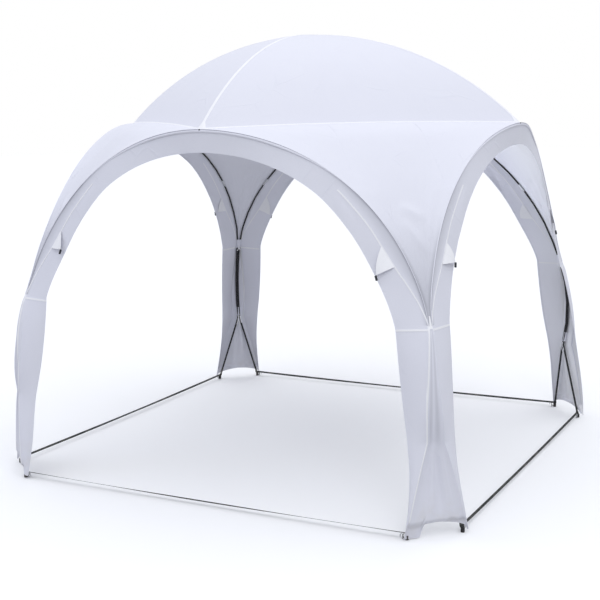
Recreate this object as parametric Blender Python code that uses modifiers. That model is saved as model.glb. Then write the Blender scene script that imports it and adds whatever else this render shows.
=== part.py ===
"""Dome marquee tent, 3 m square: a white cloth canopy on four arched poles that cross at the roof.

Units are metres, +Z is up, and the origin lies on the ground under the middle of the roof.
The tent is the same on all four sides, so each piece is made once for the front side, or for the
front right corner, and its copies are turned about +Z by quarter turns.
"""

import math

import bmesh
import bpy
from mathutils import Vector

# Driving dimensions
FOOT_LINE = 1.5             # from the middle of the tent out to a side's two feet
FOOT_REACH = 1.265          # from the middle of a side along to each of its feet
APEX_HEIGHT = 2.70          # top of the roof cloth
ARCH_RADIUS = 1.375         # of each side's arch, seen square on
ARCH_CENTRE_HEIGHT = 0.755
CROWN_LINE = 1.392          # from the middle of the tent out to an arch's crown
HUB_ANGLE = math.radians(74.6)    # where two arches meet at a corner, from the crown
TIE_ANGLE = math.radians(100.3)   # where they part again and spread to their feet

# Poles
ROD_RADIUS = 0.0055         # fibreglass rods of the arches and the roof
LEG_RADIUS = 0.0070         # steel leg tubes
JOINT_STEP = 8              # the arch's rods meet at this step of the ones below
ARCH_STEPS = 12             # steps from the crown to the hub
FOOT_CAP_RADIUS = 0.011
FOOT_CAP_HEIGHT = 0.024
LEG_STEPS = 4               # bends of a leg above its tie, and as many below
LEG_TOP_GAP = 0.0011        # below the hub, clear of the end of the haunch rod
ROD_END_TRIM = 0.0005       # off an arch rod's end where it meets the next rod
ROOF_ROD_STEPS = 20
ROOF_SEAM_HALF_ANGLE = math.radians(60.0)  # between two gores, where they pinch a rod
STRAP_WIDTH = 0.015
STRAP_THICKNESS = 0.0020
STRAP_HEIGHT = 0.034

# Cloth
CLOTH = 0.0024              # a sheet with its hems, drawn as one thickness
GAP = 0.0003                # between pieces that touch
FIT = 0.0003                # spare room for the flats of the round pieces
SEAM = 0.0013               # from a seam line to the edge of each sheet
APEX_GAP = 0.0045           # from the middle of the roof to each gore's tip
CHORD_RISE = 0.022          # how far the seam between two crowns bows up and out
PANEL_SAG = 0.030           # how far a corner panel is pulled in below it
WEB_HEM = 0.095             # height of the web's hem between two feet, at its middle
WEB_HEM_END = 0.050         # and beside the feet
HEM_ARCH = 0.6              # how square the web's hem is: 1 is a plain sine arch
WING_HEM = 0.030            # height of the wings' hems at their inner edges
WING_HEM_RISE = 0.015       # how much higher they are beside the poles
PANEL_END_TRIM = 0.0008     # off the hub ends of corner panels and valances
LEG_PANEL_TRIM = 0.0030     # off the hub end of the leg cloth
CORNER_COLUMNS = 8          # grid steps across a corner panel or a roof gore
GORE_ROWS = 10
BAND_ROWS = 3
WING_COLUMNS = 3
WEB_COLUMNS = 4
RISE_END = 0.45             # share of the way from crown to hub where a panel's rise has died out
SAG_START = 0.3             # share of it where the sag is full
CROWN_TILT = math.radians(50.0)   # a panel's outward direction above level, at the crowns
HUB_TILT = math.radians(10.0)     # and at the hub
BAND_LEAN_START = math.radians(45.0)  # where the valance starts to turn level towards the hub
NEAR_POLE = 0.1             # share across a panel that gives its direction beside a pole
LEAST_LEAN = 0.1            # least outward slope of a wing
MOST_INSET = 0.4            # share of a line that one end's inset can take
READING_STEP = 0.01         # radians or metres either side of a point, to read a pole's direction

# Valance: its width inside the arch, by angle from the crown
BAND_WIDTHS = ((0.0, 0.123), (31.0, 0.127), (45.0, 0.155), (60.0, 0.180), (74.6, 0.178))
# The outward line of its inner edge between the crown and the hub, by angle from the crown
BAND_LINES = ((17.0, 1.366), (31.0, 1.350), (45.0, 1.340), (60.0, 1.343))
# Wings below the hub: the inner edge's reach and outward line, by height
WING_REACHES = ((0.0, 1.266), (0.3, 1.252), (0.51, 1.222), (0.7, 1.188), (0.9, 1.162), (1.12, 1.143))
WING_LINES = ((0.0, 1.524), (0.51, 1.432), (1.12, 1.368))
# How far the leg cloth stands off its pole, straight out of its side, by height
LEG_SLACKS = ((0.0, 0.024), (0.25, 0.046), (0.51, 0.054), (0.85, 0.015), (1.12, 0.0))
# An arch's outward line between its crown and the hub, by angle from the crown
ARCH_LINES = ((25.0, 1.322), (45.0, 1.288), (62.0, 1.296))

COLOURS = {
    "cloth": ((0.86, 0.87, 0.93, 1.0), 0.75, 0.0),
    "rod": ((0.02, 0.02, 0.022, 1.0), 0.45, 0.0),
    "tube": ((0.03, 0.03, 0.033, 1.0), 0.4, 0.2),
    "webbing": ((0.025, 0.028, 0.026, 1.0), 0.85, 0.0),
}
SIDES = ("front", "right", "back", "left")
CORNERS = ("front_right", "back_right", "back_left", "front_left")
QUARTER = math.pi / 2

# Worked out from the driving dimensions
POLE_SPREAD = (LEG_RADIUS + GAP) / math.sqrt(2)
HUB_HEIGHT = ARCH_CENTRE_HEIGHT + ARCH_RADIUS * math.cos(HUB_ANGLE)
TIE_HEIGHT = ARCH_CENTRE_HEIGHT + ARCH_RADIUS * math.cos(TIE_ANGLE)
HUB_REACH = ARCH_RADIUS * math.sin(HUB_ANGLE)
JOINT_ANGLE = HUB_ANGLE * JOINT_STEP / ARCH_STEPS


def start_clean():
    for item in list(bpy.data.objects):
        bpy.data.objects.remove(item, do_unlink=True)


def new_collection(name):
    group = bpy.data.collections.new(name)
    bpy.context.scene.collection.children.link(group)
    return group


def new_material(name, kind):
    colour, roughness, metallic = COLOURS[kind]
    material = bpy.data.materials.new(name)
    material.use_nodes = True
    shader = material.node_tree.nodes["Principled BSDF"]
    shader.inputs["Base Color"].default_value = colour
    shader.inputs["Roughness"].default_value = roughness
    shader.inputs["Metallic"].default_value = metallic
    material.diffuse_color = colour
    return material


def place(name, data, kind, quarter=0):
    """Put a mesh or curve in the tent as one named piece, turned by quarter turns."""
    piece = bpy.data.objects.new(name, data)
    piece.rotation_euler.z = quarter * QUARTER
    TENT.objects.link(piece)
    if not data.materials:
        data.materials.append(new_material(name + "_finish", kind))
    else:
        piece.material_slots[0].link = "OBJECT"
        piece.material_slots[0].material = new_material(name + "_finish", kind)
    return piece


def steps(start, end, count):
    return [start + (end - start) * i / count for i in range(count + 1)]


def ease(x):
    """Rise from 0 to 1 with level ends."""
    x = min(max(x, 0.0), 1.0)
    return x * x * (3.0 - 2.0 * x)


def smooth(stations, x, end_slope=None):
    """Read a smooth curve through (place, value) stations."""
    places = [s[0] for s in stations]
    values = [s[1] for s in stations]
    last = len(stations) - 1
    slopes = []
    for i in range(last + 1):
        low, high = max(i - 1, 0), min(i + 1, last)
        slopes.append((values[high] - values[low]) / (places[high] - places[low]))
    if end_slope is not None:
        slopes[0], slopes[last] = end_slope
    i = 0
    while i < last - 1 and x > places[i + 1]:
        i += 1
    width = places[i + 1] - places[i]
    t = (x - places[i]) / width
    return (
        values[i] * (2 * t ** 3 - 3 * t ** 2 + 1)
        + values[i + 1] * (3 * t ** 2 - 2 * t ** 3)
        + slopes[i] * width * (t ** 3 - 2 * t ** 2 + t)
        + slopes[i + 1] * width * (t ** 3 - t ** 2)
    )


def mirror_x(point):
    return Vector((-point.x, point.y, point.z))


def across_corner(point):
    """The same place on the right side's arch, mirrored over the front right diagonal."""
    return Vector((-point.y, -point.x, point.z))


def arch_point(angle):
    """The front arch's centre line between its hubs; the angle is from the crown, + to the right."""
    turn = abs(angle)
    reach = (ARCH_RADIUS - POLE_SPREAD / math.sin(HUB_ANGLE)) * math.sin(turn)
    stations = [(0.0, CROWN_LINE)]
    stations += [(math.radians(place_deg), line) for place_deg, line in ARCH_LINES]
    stations += [(HUB_ANGLE, HUB_REACH + POLE_SPREAD)]
    line = smooth(stations, turn, end_slope=(0.0, ARCH_RADIUS * math.cos(HUB_ANGLE)))
    height = ARCH_CENTRE_HEIGHT + ARCH_RADIUS * math.cos(turn)
    return Vector((math.copysign(reach, angle), -line, height))


def leg_point(height):
    """The front arch's right leg: beside its neighbour down to the tie, then out to its foot."""
    level = max(height, TIE_HEIGHT)
    corner = math.sqrt(ARCH_RADIUS ** 2 - (level - ARCH_CENTRE_HEIGHT) ** 2)
    point = Vector((corner - POLE_SPREAD, -corner - POLE_SPREAD, level))
    if height < TIE_HEIGHT:
        foot = Vector((FOOT_REACH, -FOOT_LINE, 0.0))
        point = foot.lerp(point, height / TIE_HEIGHT)
    return point


def seam_point(pole, along, to_panel, to_valance, radius):
    """Where two sheets meet outside a pole, each just clear of it."""
    along = along.normalized()
    first = (to_panel - along * to_panel.dot(along)).normalized()
    second = (to_valance - along * to_valance.dot(along)).normalized()
    inward = (first + second).normalized()
    clear = radius + GAP + FIT + CLOTH / 2
    return pole - inward * clear / math.sin(first.angle(second) / 2)


def panel_bow(angle):
    """How far a corner panel's middle stands out from the straight line between its arches."""
    share = angle / HUB_ANGLE
    rise = CHORD_RISE * (1.0 - ease(share / RISE_END))
    sag = PANEL_SAG * math.sin(math.pi * ease(share)) * ease(share / SAG_START)
    tilt = CROWN_TILT + (HUB_TILT - CROWN_TILT) * share
    out = Vector((math.cos(tilt) * math.sqrt(0.5), -math.cos(tilt) * math.sqrt(0.5), math.sin(tilt)))
    return out * (rise - sag)


def bow_share(across):
    """How much of a panel's bow shows at a share of the way across it."""
    return 4.0 * across * (1.0 - across)


def band_edge(angle):
    """The valance's inner edge beside the front arch."""
    turn = abs(angle)
    stations = [(math.radians(place_deg), width) for place_deg, width in BAND_WIDTHS]
    width = smooth(stations, turn, end_slope=(0.0, 0.0))
    late = ease((turn - BAND_LEAN_START) / (HUB_ANGLE - BAND_LEAN_START))
    lean = turn + (QUARTER - HUB_ANGLE) * late
    point = arch_point(turn)
    point -= Vector((math.sin(lean), 0.0, math.cos(lean))) * width
    lines = [(0.0, CROWN_LINE)]
    lines += [(math.radians(place_deg), line) for place_deg, line in BAND_LINES]
    lines += [(HUB_ANGLE, smooth(WING_LINES, HUB_HEIGHT))]
    point.y = -smooth(lines, turn)
    return mirror_x(point) if angle < 0 else point


def arch_seam(angle):
    """The seam line outside the front arch, where the valance and a corner panel meet."""
    turn = abs(angle)
    pole = arch_point(turn)
    if turn + READING_STEP < HUB_ANGLE:
        along = arch_point(turn + READING_STEP) - arch_point(turn - READING_STEP)
    else:
        along = pole - arch_point(turn - READING_STEP)
    other = across_corner(pole)
    to_panel = pole.lerp(other, NEAR_POLE) + panel_bow(turn) * bow_share(NEAR_POLE) - pole
    point = seam_point(pole, along, to_panel, band_edge(turn) - pole, ROD_RADIUS)
    return mirror_x(point) if angle < 0 else point


def wing_edge(height):
    """The inner edge of the front side's right wing, below the hub."""
    return Vector((smooth(WING_REACHES, height), -smooth(WING_LINES, height), height))


def leg_seam(height):
    """The seam line outside the front arch's right leg."""
    pole = leg_point(height)
    along = leg_point(height + READING_STEP) - leg_point(height - READING_STEP)
    to_web = Vector((1.0, 1.0, 0.0))
    wing = wing_edge(height) - pole
    lean = max(wing.y / wing.x, LEAST_LEAN)
    to_wing = Vector((-1.0, -lean / 2.0, 0.0))
    slack = Vector((0.0, -smooth(LEG_SLACKS, height), 0.0))
    return seam_point(pole, along, to_web, to_wing, LEG_RADIUS) + slack


def tube_curve(name, points, radius):
    curve = bpy.data.curves.new(name, "CURVE")
    curve.dimensions = "3D"
    curve.bevel_depth = radius
    curve.bevel_resolution = 2
    curve.use_fill_caps = True
    spline = curve.splines.new("POLY")
    spline.points.add(len(points) - 1)
    for target, point in zip(spline.points, points):
        target.co = (point.x, point.y, point.z, 1.0)
    return curve


def shortened(points, start, end):
    """Trim a line of points by a little at each end."""
    points = [p.copy() for p in points]
    points[0] += (points[1] - points[0]).normalized() * start
    points[-1] += (points[-2] - points[-1]).normalized() * end
    return points


def sheet_mesh(name, rows, columns, surface):
    """A grid of cloth laid on surface(down, across), both from 0 to 1."""
    mesh = bpy.data.meshes.new(name)
    bm = bmesh.new()
    bmesh.ops.create_grid(bm, x_segments=columns, y_segments=rows, size=0.5)
    for vert in bm.verts:
        vert.co = surface(vert.co.y + 0.5, vert.co.x + 0.5)
    bmesh.ops.triangulate(bm, faces=bm.faces)
    bm.to_mesh(mesh)
    bm.free()
    mesh.shade_smooth()
    return mesh


def place_sheet(name, mesh, quarter):
    piece = place(name, mesh, "cloth", quarter)
    solidify = piece.modifiers.new("Thickness", "SOLIDIFY")
    solidify.thickness = CLOTH
    solidify.offset = 0.0
    return piece


def between(start, end, across, inset):
    """A point across the straight line from start to end, with both ends held back from seams."""
    held = min(inset / (end - start).length, MOST_INSET)
    share = held + (1.0 - 2.0 * held) * across
    return start.lerp(end, share), share


def make_arch_rods():
    crown_angles = steps(-JOINT_ANGLE, JOINT_ANGLE, 2 * JOINT_STEP)
    crown = shortened([arch_point(a) for a in crown_angles], ROD_END_TRIM, ROD_END_TRIM)
    haunch_angles = steps(JOINT_ANGLE, HUB_ANGLE, ARCH_STEPS - JOINT_STEP)
    right = shortened([arch_point(a) for a in haunch_angles], ROD_END_TRIM, 0.0)
    left = [mirror_x(p) for p in right]
    crown_data = tube_curve("crown_rod", crown, ROD_RADIUS)
    right_data = tube_curve("right_haunch_rod", right, ROD_RADIUS)
    left_data = tube_curve("left_haunch_rod", left, ROD_RADIUS)
    for quarter, side in enumerate(SIDES):
        place(f"{side}_arch_crown_rod", crown_data, "rod", quarter)
        place(f"{side}_arch_right_rod", right_data, "rod", quarter)
        place(f"{side}_arch_left_rod", left_data, "rod", quarter)


def leg_heights():
    """Heights of the bends of a leg, from the hub down to the wings' hems."""
    angles = steps(HUB_ANGLE, TIE_ANGLE, LEG_STEPS)
    upper = [ARCH_CENTRE_HEIGHT + ARCH_RADIUS * math.cos(a) for a in angles]
    return upper + steps(TIE_HEIGHT, WING_HEM, LEG_STEPS)[1:]


def make_leg(name, side):
    """A leg tube with a flat rubber foot; side is 1 for the right leg and -1 for the left."""
    heights = leg_heights()[:-1] + [FOOT_CAP_HEIGHT / 2]
    points = shortened([leg_point(h) for h in heights], LEG_TOP_GAP, 0.0)
    if side < 0:
        points = [mirror_x(p) for p in points]
    rod = bpy.data.objects.new(name, tube_curve(name, points, LEG_RADIUS))
    TENT.objects.link(rod)
    bpy.context.view_layer.update()
    graph = bpy.context.evaluated_depsgraph_get()
    mesh = bpy.data.meshes.new_from_object(rod.evaluated_get(graph))
    curve = rod.data
    bpy.data.objects.remove(rod)
    bpy.data.curves.remove(curve)
    bm = bmesh.new()
    bm.from_mesh(mesh)
    bmesh.ops.remove_doubles(bm, verts=bm.verts, dist=0.00001)
    bm.to_mesh(mesh)
    bm.free()
    foot = leg_point(FOOT_CAP_HEIGHT / 2)
    bpy.ops.mesh.primitive_cylinder_add(
        vertices=16,
        radius=FOOT_CAP_RADIUS,
        depth=FOOT_CAP_HEIGHT,
        location=(foot.x * side, foot.y, FOOT_CAP_HEIGHT / 2),
    )
    cap = bpy.context.object
    cap.name = name + "_cap"
    for group in list(cap.users_collection):
        group.objects.unlink(cap)
    CUTTERS.objects.link(cap)
    cap.hide_render = True
    cap.display_type = "WIRE"
    return mesh, cap


def make_legs():
    for side, word in ((1, "right"), (-1, "left")):
        mesh, cap = make_leg(f"{word}_leg", side)
        for quarter, name in enumerate(SIDES):
            leg = place(f"{name}_{word}_leg", mesh, "tube", quarter)
            join = leg.modifiers.new("Foot", "BOOLEAN")
            join.operation = "UNION"
            join.solver = "EXACT"
            join.object = cap
            if quarter:
                turned = cap.copy()
                turned.name = f"{name}_{word}_leg_cap"
                turned.location.rotate(leg.rotation_euler)
                turned.rotation_euler.z = quarter * QUARTER
                CUTTERS.objects.link(turned)
                join.object = turned


def roof_arc():
    """Radius, centre height and half angle of the arc that a roof seam follows over its rod."""
    seam = arch_seam(0.0)
    top = APEX_HEIGHT - CLOTH / 2
    reach, rise = -seam.y, top - seam.z
    radius = (reach ** 2 + rise ** 2) / (2.0 * rise)
    return radius, top - radius, math.asin(reach / radius)


def make_roof_rods():
    """Two rods from crown to crown; the front to back one passes under the other at the apex."""
    radius, centre, _ = roof_arc()
    drop = (ROD_RADIUS + GAP + FIT + CLOTH / 2) / math.sin(ROOF_SEAM_HALF_ANGLE)
    crown = arch_point(0.0)
    rod_angle = math.atan2(-crown.y, crown.z - centre) - (ROD_RADIUS * 2 + GAP) / radius
    under = 2 * ROD_RADIUS + GAP
    for name, quarter, dip in (("roof_rod_left_right", 1, 0.0), ("roof_rod_front_back", 0, under)):
        points = []
        for angle in steps(-rod_angle, rod_angle, ROOF_ROD_STEPS):
            lower = drop + dip * ease(1.0 - abs(angle) / rod_angle)
            line = (radius - lower) * math.sin(angle)
            points.append(Vector((0.0, line, centre + (radius - lower) * math.cos(angle))))
        place(name, tube_curve(name, points, ROD_RADIUS), "rod", quarter)


def make_roof_gores():
    radius, centre, end_angle = roof_arc()
    first = APEX_GAP / radius

    def gore(down, across):
        angle = first + (end_angle - SEAM / radius - first) * down
        reach, height = radius * math.sin(angle), centre + radius * math.cos(angle)
        start, end = Vector((0.0, -reach, height)), Vector((reach, 0.0, height))
        point, share = between(start, end, across, SEAM)
        return point + panel_bow(0.0) * bow_share(share) * (angle / end_angle) ** 2

    mesh = sheet_mesh("roof_gore", GORE_ROWS, CORNER_COLUMNS, gore)
    for quarter, corner in enumerate(CORNERS):
        place_sheet(f"roof_gore_{corner}", mesh, quarter)


def make_corner_panels():
    angles = steps(0.0, HUB_ANGLE, ARCH_STEPS)
    angles[0] = SEAM / ARCH_RADIUS
    angles[-1] -= PANEL_END_TRIM / ARCH_RADIUS

    def corner(down, across):
        angle = angles[round(down * ARCH_STEPS)]
        start = arch_seam(angle)
        point, share = between(start, across_corner(start), across, SEAM)
        return point + panel_bow(angle) * bow_share(share)

    mesh = sheet_mesh("corner_panel", ARCH_STEPS, CORNER_COLUMNS, corner)
    for quarter, name in enumerate(CORNERS):
        place_sheet(f"corner_panel_{name}", mesh, quarter)


def make_valances():
    angles = steps(-HUB_ANGLE, HUB_ANGLE, 2 * ARCH_STEPS)
    angles[0] += PANEL_END_TRIM / ARCH_RADIUS
    angles[-1] -= PANEL_END_TRIM / ARCH_RADIUS

    def band(down, across):
        angle = angles[round(across * 2 * ARCH_STEPS)]
        start, end = arch_seam(angle), band_edge(angle)
        start = start + (end - start).normalized() * SEAM
        return start.lerp(end, down)

    mesh = sheet_mesh("valance", BAND_ROWS, 2 * ARCH_STEPS, band)
    for quarter, name in enumerate(SIDES):
        place_sheet(f"valance_{name}", mesh, quarter)


def make_leg_panels():
    """Each corner's leg cloth: a wing inside each pole and a web between the poles."""
    heights = leg_heights()
    heights[0] -= LEG_PANEL_TRIM
    rows = len(heights) - 1
    columns = 2 * WING_COLUMNS + WEB_COLUMNS

    def row_height(down, lowest):
        """The height of a row in a column whose hem is at lowest."""
        height = heights[round(down * rows)]
        share = (heights[0] - height) / (heights[0] - heights[-1])
        return height + (lowest - heights[-1]) * share ** 3

    def leg(down, across):
        column = round(across * columns)
        mirrored = column > columns / 2
        if mirrored:
            column = columns - column
        if column <= WING_COLUMNS:
            share = column / WING_COLUMNS
            height = row_height(down, WING_HEM + WING_HEM_RISE * share)
            point = wing_edge(height).lerp(leg_seam(height), share)
        else:
            share = (column - WING_COLUMNS) / WEB_COLUMNS
            hem = WEB_HEM_END + (WEB_HEM - WEB_HEM_END) * math.sin(math.pi * share) ** HEM_ARCH
            height = row_height(down, hem)
            start = leg_seam(height)
            point = start.lerp(across_corner(start), share)
        return across_corner(point) if mirrored else point

    mesh = sheet_mesh("leg_panel", rows, columns, leg)
    for quarter, name in enumerate(CORNERS):
        place_sheet(f"leg_panel_{name}", mesh, quarter)


def make_ground_straps():
    foot = leg_point(STRAP_HEIGHT)
    length = 2.0 * (foot.x - LEG_RADIUS - GAP - FIT)
    mesh = bpy.data.meshes.new("ground_strap")
    bm = bmesh.new()
    bmesh.ops.create_cube(bm, size=1.0)
    bmesh.ops.scale(bm, vec=(length, STRAP_WIDTH, STRAP_THICKNESS), verts=bm.verts)
    bmesh.ops.translate(bm, vec=(0.0, foot.y, STRAP_HEIGHT), verts=bm.verts)
    bm.to_mesh(mesh)
    bm.free()
    for quarter, side in enumerate(SIDES):
        place(f"ground_strap_{side}", mesh, "webbing", quarter)


start_clean()
TENT = new_collection("Dome marquee tent")
CUTTERS = new_collection("Joined shapes")
make_arch_rods()
make_legs()
make_roof_rods()
make_roof_gores()
make_corner_panels()
make_valances()
make_leg_panels()
make_ground_straps()
bpy.context.view_layer.update()
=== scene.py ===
"""Looks of the dome marquee tent: its cloth, seams, trim, pole finishes, straps and studio.

Units are metres, +Z is up and the front faces -Y. The frame is the same on all four sides, so a
piece is shaped for the front side, or for the front right corner, and turned about +Z in quarters.
Only the hang and the folds of the cloth differ from corner to corner.
"""

import math
from collections import namedtuple
from functools import partial

import bmesh
import bpy
from bpy.props import FloatProperty, FloatVectorProperty, PointerProperty
from mathutils import Matrix, Vector, noise


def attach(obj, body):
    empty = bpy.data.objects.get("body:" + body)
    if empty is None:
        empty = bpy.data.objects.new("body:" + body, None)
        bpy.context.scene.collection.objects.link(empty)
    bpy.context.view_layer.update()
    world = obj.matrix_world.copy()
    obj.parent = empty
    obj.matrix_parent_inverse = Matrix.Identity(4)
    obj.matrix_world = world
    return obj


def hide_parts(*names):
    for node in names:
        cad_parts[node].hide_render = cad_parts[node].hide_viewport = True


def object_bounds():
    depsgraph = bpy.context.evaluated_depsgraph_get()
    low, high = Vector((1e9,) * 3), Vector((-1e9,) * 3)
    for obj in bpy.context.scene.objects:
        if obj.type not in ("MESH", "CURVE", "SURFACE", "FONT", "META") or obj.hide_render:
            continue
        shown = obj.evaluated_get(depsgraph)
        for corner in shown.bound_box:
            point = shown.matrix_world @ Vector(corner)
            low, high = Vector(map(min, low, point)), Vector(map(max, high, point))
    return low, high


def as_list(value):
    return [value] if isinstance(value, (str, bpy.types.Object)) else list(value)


bl_info = {
    "name": "Dome marquee tent",
    "version": (1, 0, 0),
    "blender": (4, 5, 0),
    "location": "3D Viewport > Sidebar > Tent",
    "description": "Dresses the frame of a 3 m dome marquee tent with cloth, trim and finishes",
    "category": "Object",
}

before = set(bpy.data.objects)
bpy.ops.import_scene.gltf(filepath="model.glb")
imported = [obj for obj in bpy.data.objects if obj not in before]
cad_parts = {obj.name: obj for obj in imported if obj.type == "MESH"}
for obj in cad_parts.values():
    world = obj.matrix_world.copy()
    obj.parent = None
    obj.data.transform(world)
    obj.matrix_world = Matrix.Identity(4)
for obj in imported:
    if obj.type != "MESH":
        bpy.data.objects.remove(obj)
CAD_LOW, CAD_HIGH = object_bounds()


def ease(x):
    """Rise from 0 to 1 with level ends."""
    x = min(max(x, 0.0), 1.0)
    return x * x * (3.0 - 2.0 * x)


def smooth(stations, x, end_slope=None):
    """Read a smooth curve through (place, value) stations."""
    places = [s[0] for s in stations]
    values = [s[1] for s in stations]
    last = len(stations) - 1
    slopes = []
    for i in range(last + 1):
        low, high = max(i - 1, 0), min(i + 1, last)
        slopes.append((values[high] - values[low]) / (places[high] - places[low]))
    if end_slope is not None:
        slopes[0], slopes[last] = end_slope
    i = 0
    while i < last - 1 and x > places[i + 1]:
        i += 1
    width = places[i + 1] - places[i]
    t = (x - places[i]) / width
    return (
        values[i] * (2 * t ** 3 - 3 * t ** 2 + 1)
        + values[i + 1] * (3 * t ** 2 - 2 * t ** 3)
        + slopes[i] * width * (t ** 3 - 2 * t ** 2 + t)
        + slopes[i + 1] * width * (t ** 3 - t ** 2)
    )


def by_angle(*stations):
    """Stations given in degrees from an arch's crown, with their angles in radians."""
    return [(math.radians(degrees), value) for degrees, value in stations]


# The tent's shape, as the frame has it
FOOT_LINE = 1.5             # from the middle of the tent out to a side's two feet
FOOT_REACH = 1.265          # from the middle of a side along to each of its feet
APEX_HEIGHT = CAD_HIGH.z    # top of the roof cloth
ARCH_RADIUS = 1.375
ARCH_CENTRE_HEIGHT = 0.755
CROWN_LINE = 1.392          # from the middle of the tent out to an arch's crown
HUB_ANGLE = math.radians(74.6)    # where two arches meet at a corner, from the crown
TIE_ANGLE = math.radians(100.3)   # where they part again and spread to their feet
JOINT_ANGLE = HUB_ANGLE * 8 / 12  # where an arch's rods meet
ROD_RADIUS = 0.0055
LEG_RADIUS = 0.0070
FRAME_CLOTH = 0.0024        # thickness of the frame's cloth solids
GAP = 0.0003                # kept clear between two solids, and FIT again beside cloth
FIT = 0.0003
CHORD_RISE = 0.022          # how far the seam between two crowns bows up and out
PANEL_SAG = 0.030           # how far a corner panel is pulled in below it
RISE_END = 0.45             # where the rise has run out and the sag has set in, down a panel
SAG_START = 0.3
CROWN_TILT = math.radians(50.0)   # of the way a panel bows, at its top and at the hub
HUB_TILT = math.radians(10.0)
BAND_LEAN_START = math.radians(45.0)   # where the valance's edge starts to turn down to the wing
NEAR_POLE = 0.1             # share of a panel's width that gives its direction at the pole
HUB_STRETCH = 0.12          # of the arch's angle, above a hub, where its seam joins the leg's
LEAST_LEAN = 0.1
READING_STEP = 0.01         # between two readings of a curve's direction
QUARTER = math.pi / 2
POLE_SPREAD = (LEG_RADIUS + GAP) / math.sqrt(2)
HUB_HEIGHT = ARCH_CENTRE_HEIGHT + ARCH_RADIUS * math.cos(HUB_ANGLE)
TIE_HEIGHT = ARCH_CENTRE_HEIGHT + ARCH_RADIUS * math.cos(TIE_ANGLE)
HUB_REACH = ARCH_RADIUS * math.sin(HUB_ANGLE)
ARCH_LENGTH = 2.0 * HUB_ANGLE * ARCH_RADIUS   # from hub to hub

# Lines are distances from the middle of the tent out to a side, reaches run along the side. Arches
# and valances go by the angle from the crown, wings and legs by height.
ARCH_LINES = [
    (0.0, CROWN_LINE),
    *by_angle((25.0, 1.322), (45.0, 1.288), (62.0, 1.296)),
    (HUB_ANGLE, HUB_REACH + POLE_SPREAD),
]
WING_REACHES = ((0.0, 1.266), (0.3, 1.252), (0.51, 1.222), (0.7, 1.188), (0.9, 1.162), (1.12, 1.143))
WING_LINES = ((0.0, 1.524), (0.51, 1.432), (1.12, 1.368))
LEG_SLACKS = ((0.0, 0.024), (0.25, 0.046), (0.51, 0.054), (0.85, 0.015), (1.12, 0.0))
BAND_WIDTHS = by_angle((0.0, 0.123), (31.0, 0.127), (45.0, 0.155), (60.0, 0.180), (74.6, 0.178))
BAND_LINES = [
    (0.0, CROWN_LINE),
    *by_angle((17.0, 1.366), (31.0, 1.350), (45.0, 1.340), (60.0, 1.343)),
    (HUB_ANGLE, smooth(WING_LINES, HUB_HEIGHT)),
]

SIDES = ("front", "right", "back", "left")
CORNERS = ("front_right", "back_right", "back_left", "front_left")
INSIDE = Vector((0.0, 0.0, 1.1))  # a point that every sheet of cloth has its back to
FORWARD = Vector((0.0, -1.0, 0.0))
OUTWARD = Vector((math.sqrt(0.5), -math.sqrt(0.5), 0.0))  # from the middle to the front right corner
APART = Vector((math.sqrt(0.5), math.sqrt(0.5), 0.0))     # from that corner's front pole to its other

# Trim: its thickness where the seam setting doesn't give it, and how far it lies off the cloth
THIN_TAPE = 0.0008          # laps, tab linings and pole sleeves
TIE_TAPE = 0.0012
EDGE_TAPE = 0.0014          # valance edges and tabs
APEX_TAPE = 0.0016
WEBBING = 0.0018
HEM_FOLD = 0.0022
SEAM_LIFT = 0.0004
TAPE_LIFT = 0.0006
PATCH_LIFT = 0.0012
MERGE = 0.0002              # points of one piece that are closer than this are the same,
APEX_MERGE = 0.0001         # and points of a roof gore, whose rows shrink to the apex

# Roof trim
RIDGE_START = 0.012         # where a ridge tape starts, down its gore
CROWN_FLARE = 0.036         # the share of a gore over which the tape flares to its crown patch
APEX_PATCH = 0.110
GORE_LENGTH = 1.55

# Corner panels: the joins down them, and the folds, each from and to a place down and across
JOIN_TOP = (0.04, 0.36)
JOIN_FOOT = (0.54, 0.06)
JOIN_WIDTH = 0.006
JOIN_DIP = 0.010            # how far the cloth is drawn in along a join
JOIN_DIP_REACH = 0.16
PANEL_FOLD = 0.010
PANEL_FOLD_REACH = 0.05
PANEL_PULL = 0.0028         # depth of the pulls that fan out above the hub
PANEL_MIDDLE = 0.75         # length of a panel down its middle, as a share of its edges
PANEL_SHADE = 0.024         # how far in from its edges the painted shadow beside the rods reaches
PANEL_FOLDS = (
    (((0.60, 0.40), (0.66, 0.74)), ((0.66, 0.36), (0.79, 0.84))),
    (((0.66, 0.58), (0.60, 0.26)), ((0.79, 0.74), (0.69, 0.32))),
    (((0.81, 0.97), (0.69, 0.42)), ((0.64, 0.64), (0.59, 0.34))),
    (((0.61, 0.28), (0.70, 0.64)), ((0.80, 0.22), (0.73, 0.62))),
)

# Valances
JOINT_SEAM_ANGLE = math.radians(35.0)   # where the lengths of the valance join
JOINT_SEAM_TOP = 0.16       # share of the valance above that seam
GUSSET_DEPTHS = by_angle(   # how far inside the arch the valance's inner seam runs
    (37.0, 0.050), (43.0, 0.062), (48.0, 0.067), (54.0, 0.074),
    (60.0, 0.070), (65.0, 0.050), (69.0, 0.029), (74.6, 0.0),
)
GUSSET_START = GUSSET_DEPTHS[0][0]
BAND_DEPTH = 0.155          # of the valance, for the scale of its cloth
BAND_ROWS = 1.5             # the valance's rows are finer beside the arch, by this power
BAND_FOLDS = (((36.0, 0.080), (50.0, 0.165)), ((37.0, 0.070), (47.0, 0.125)))   # degrees and depths
BAND_FOLD = 0.004
BAND_FOLD_REACH = 0.025
BAND_CALM = 0.030           # how near its inner seam the valance's wrinkles die out
BAND_SHADE = 0.015          # how far in from the arch the dark line runs, where the rod shows through and its shadow is painted,
BAND_SHADE_LOW = 0.035      # and how far in at least the painted shade reaches near the hub
ROLL_END = math.radians(40.0)           # where the rolled strip under the arch's edge has run out
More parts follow.
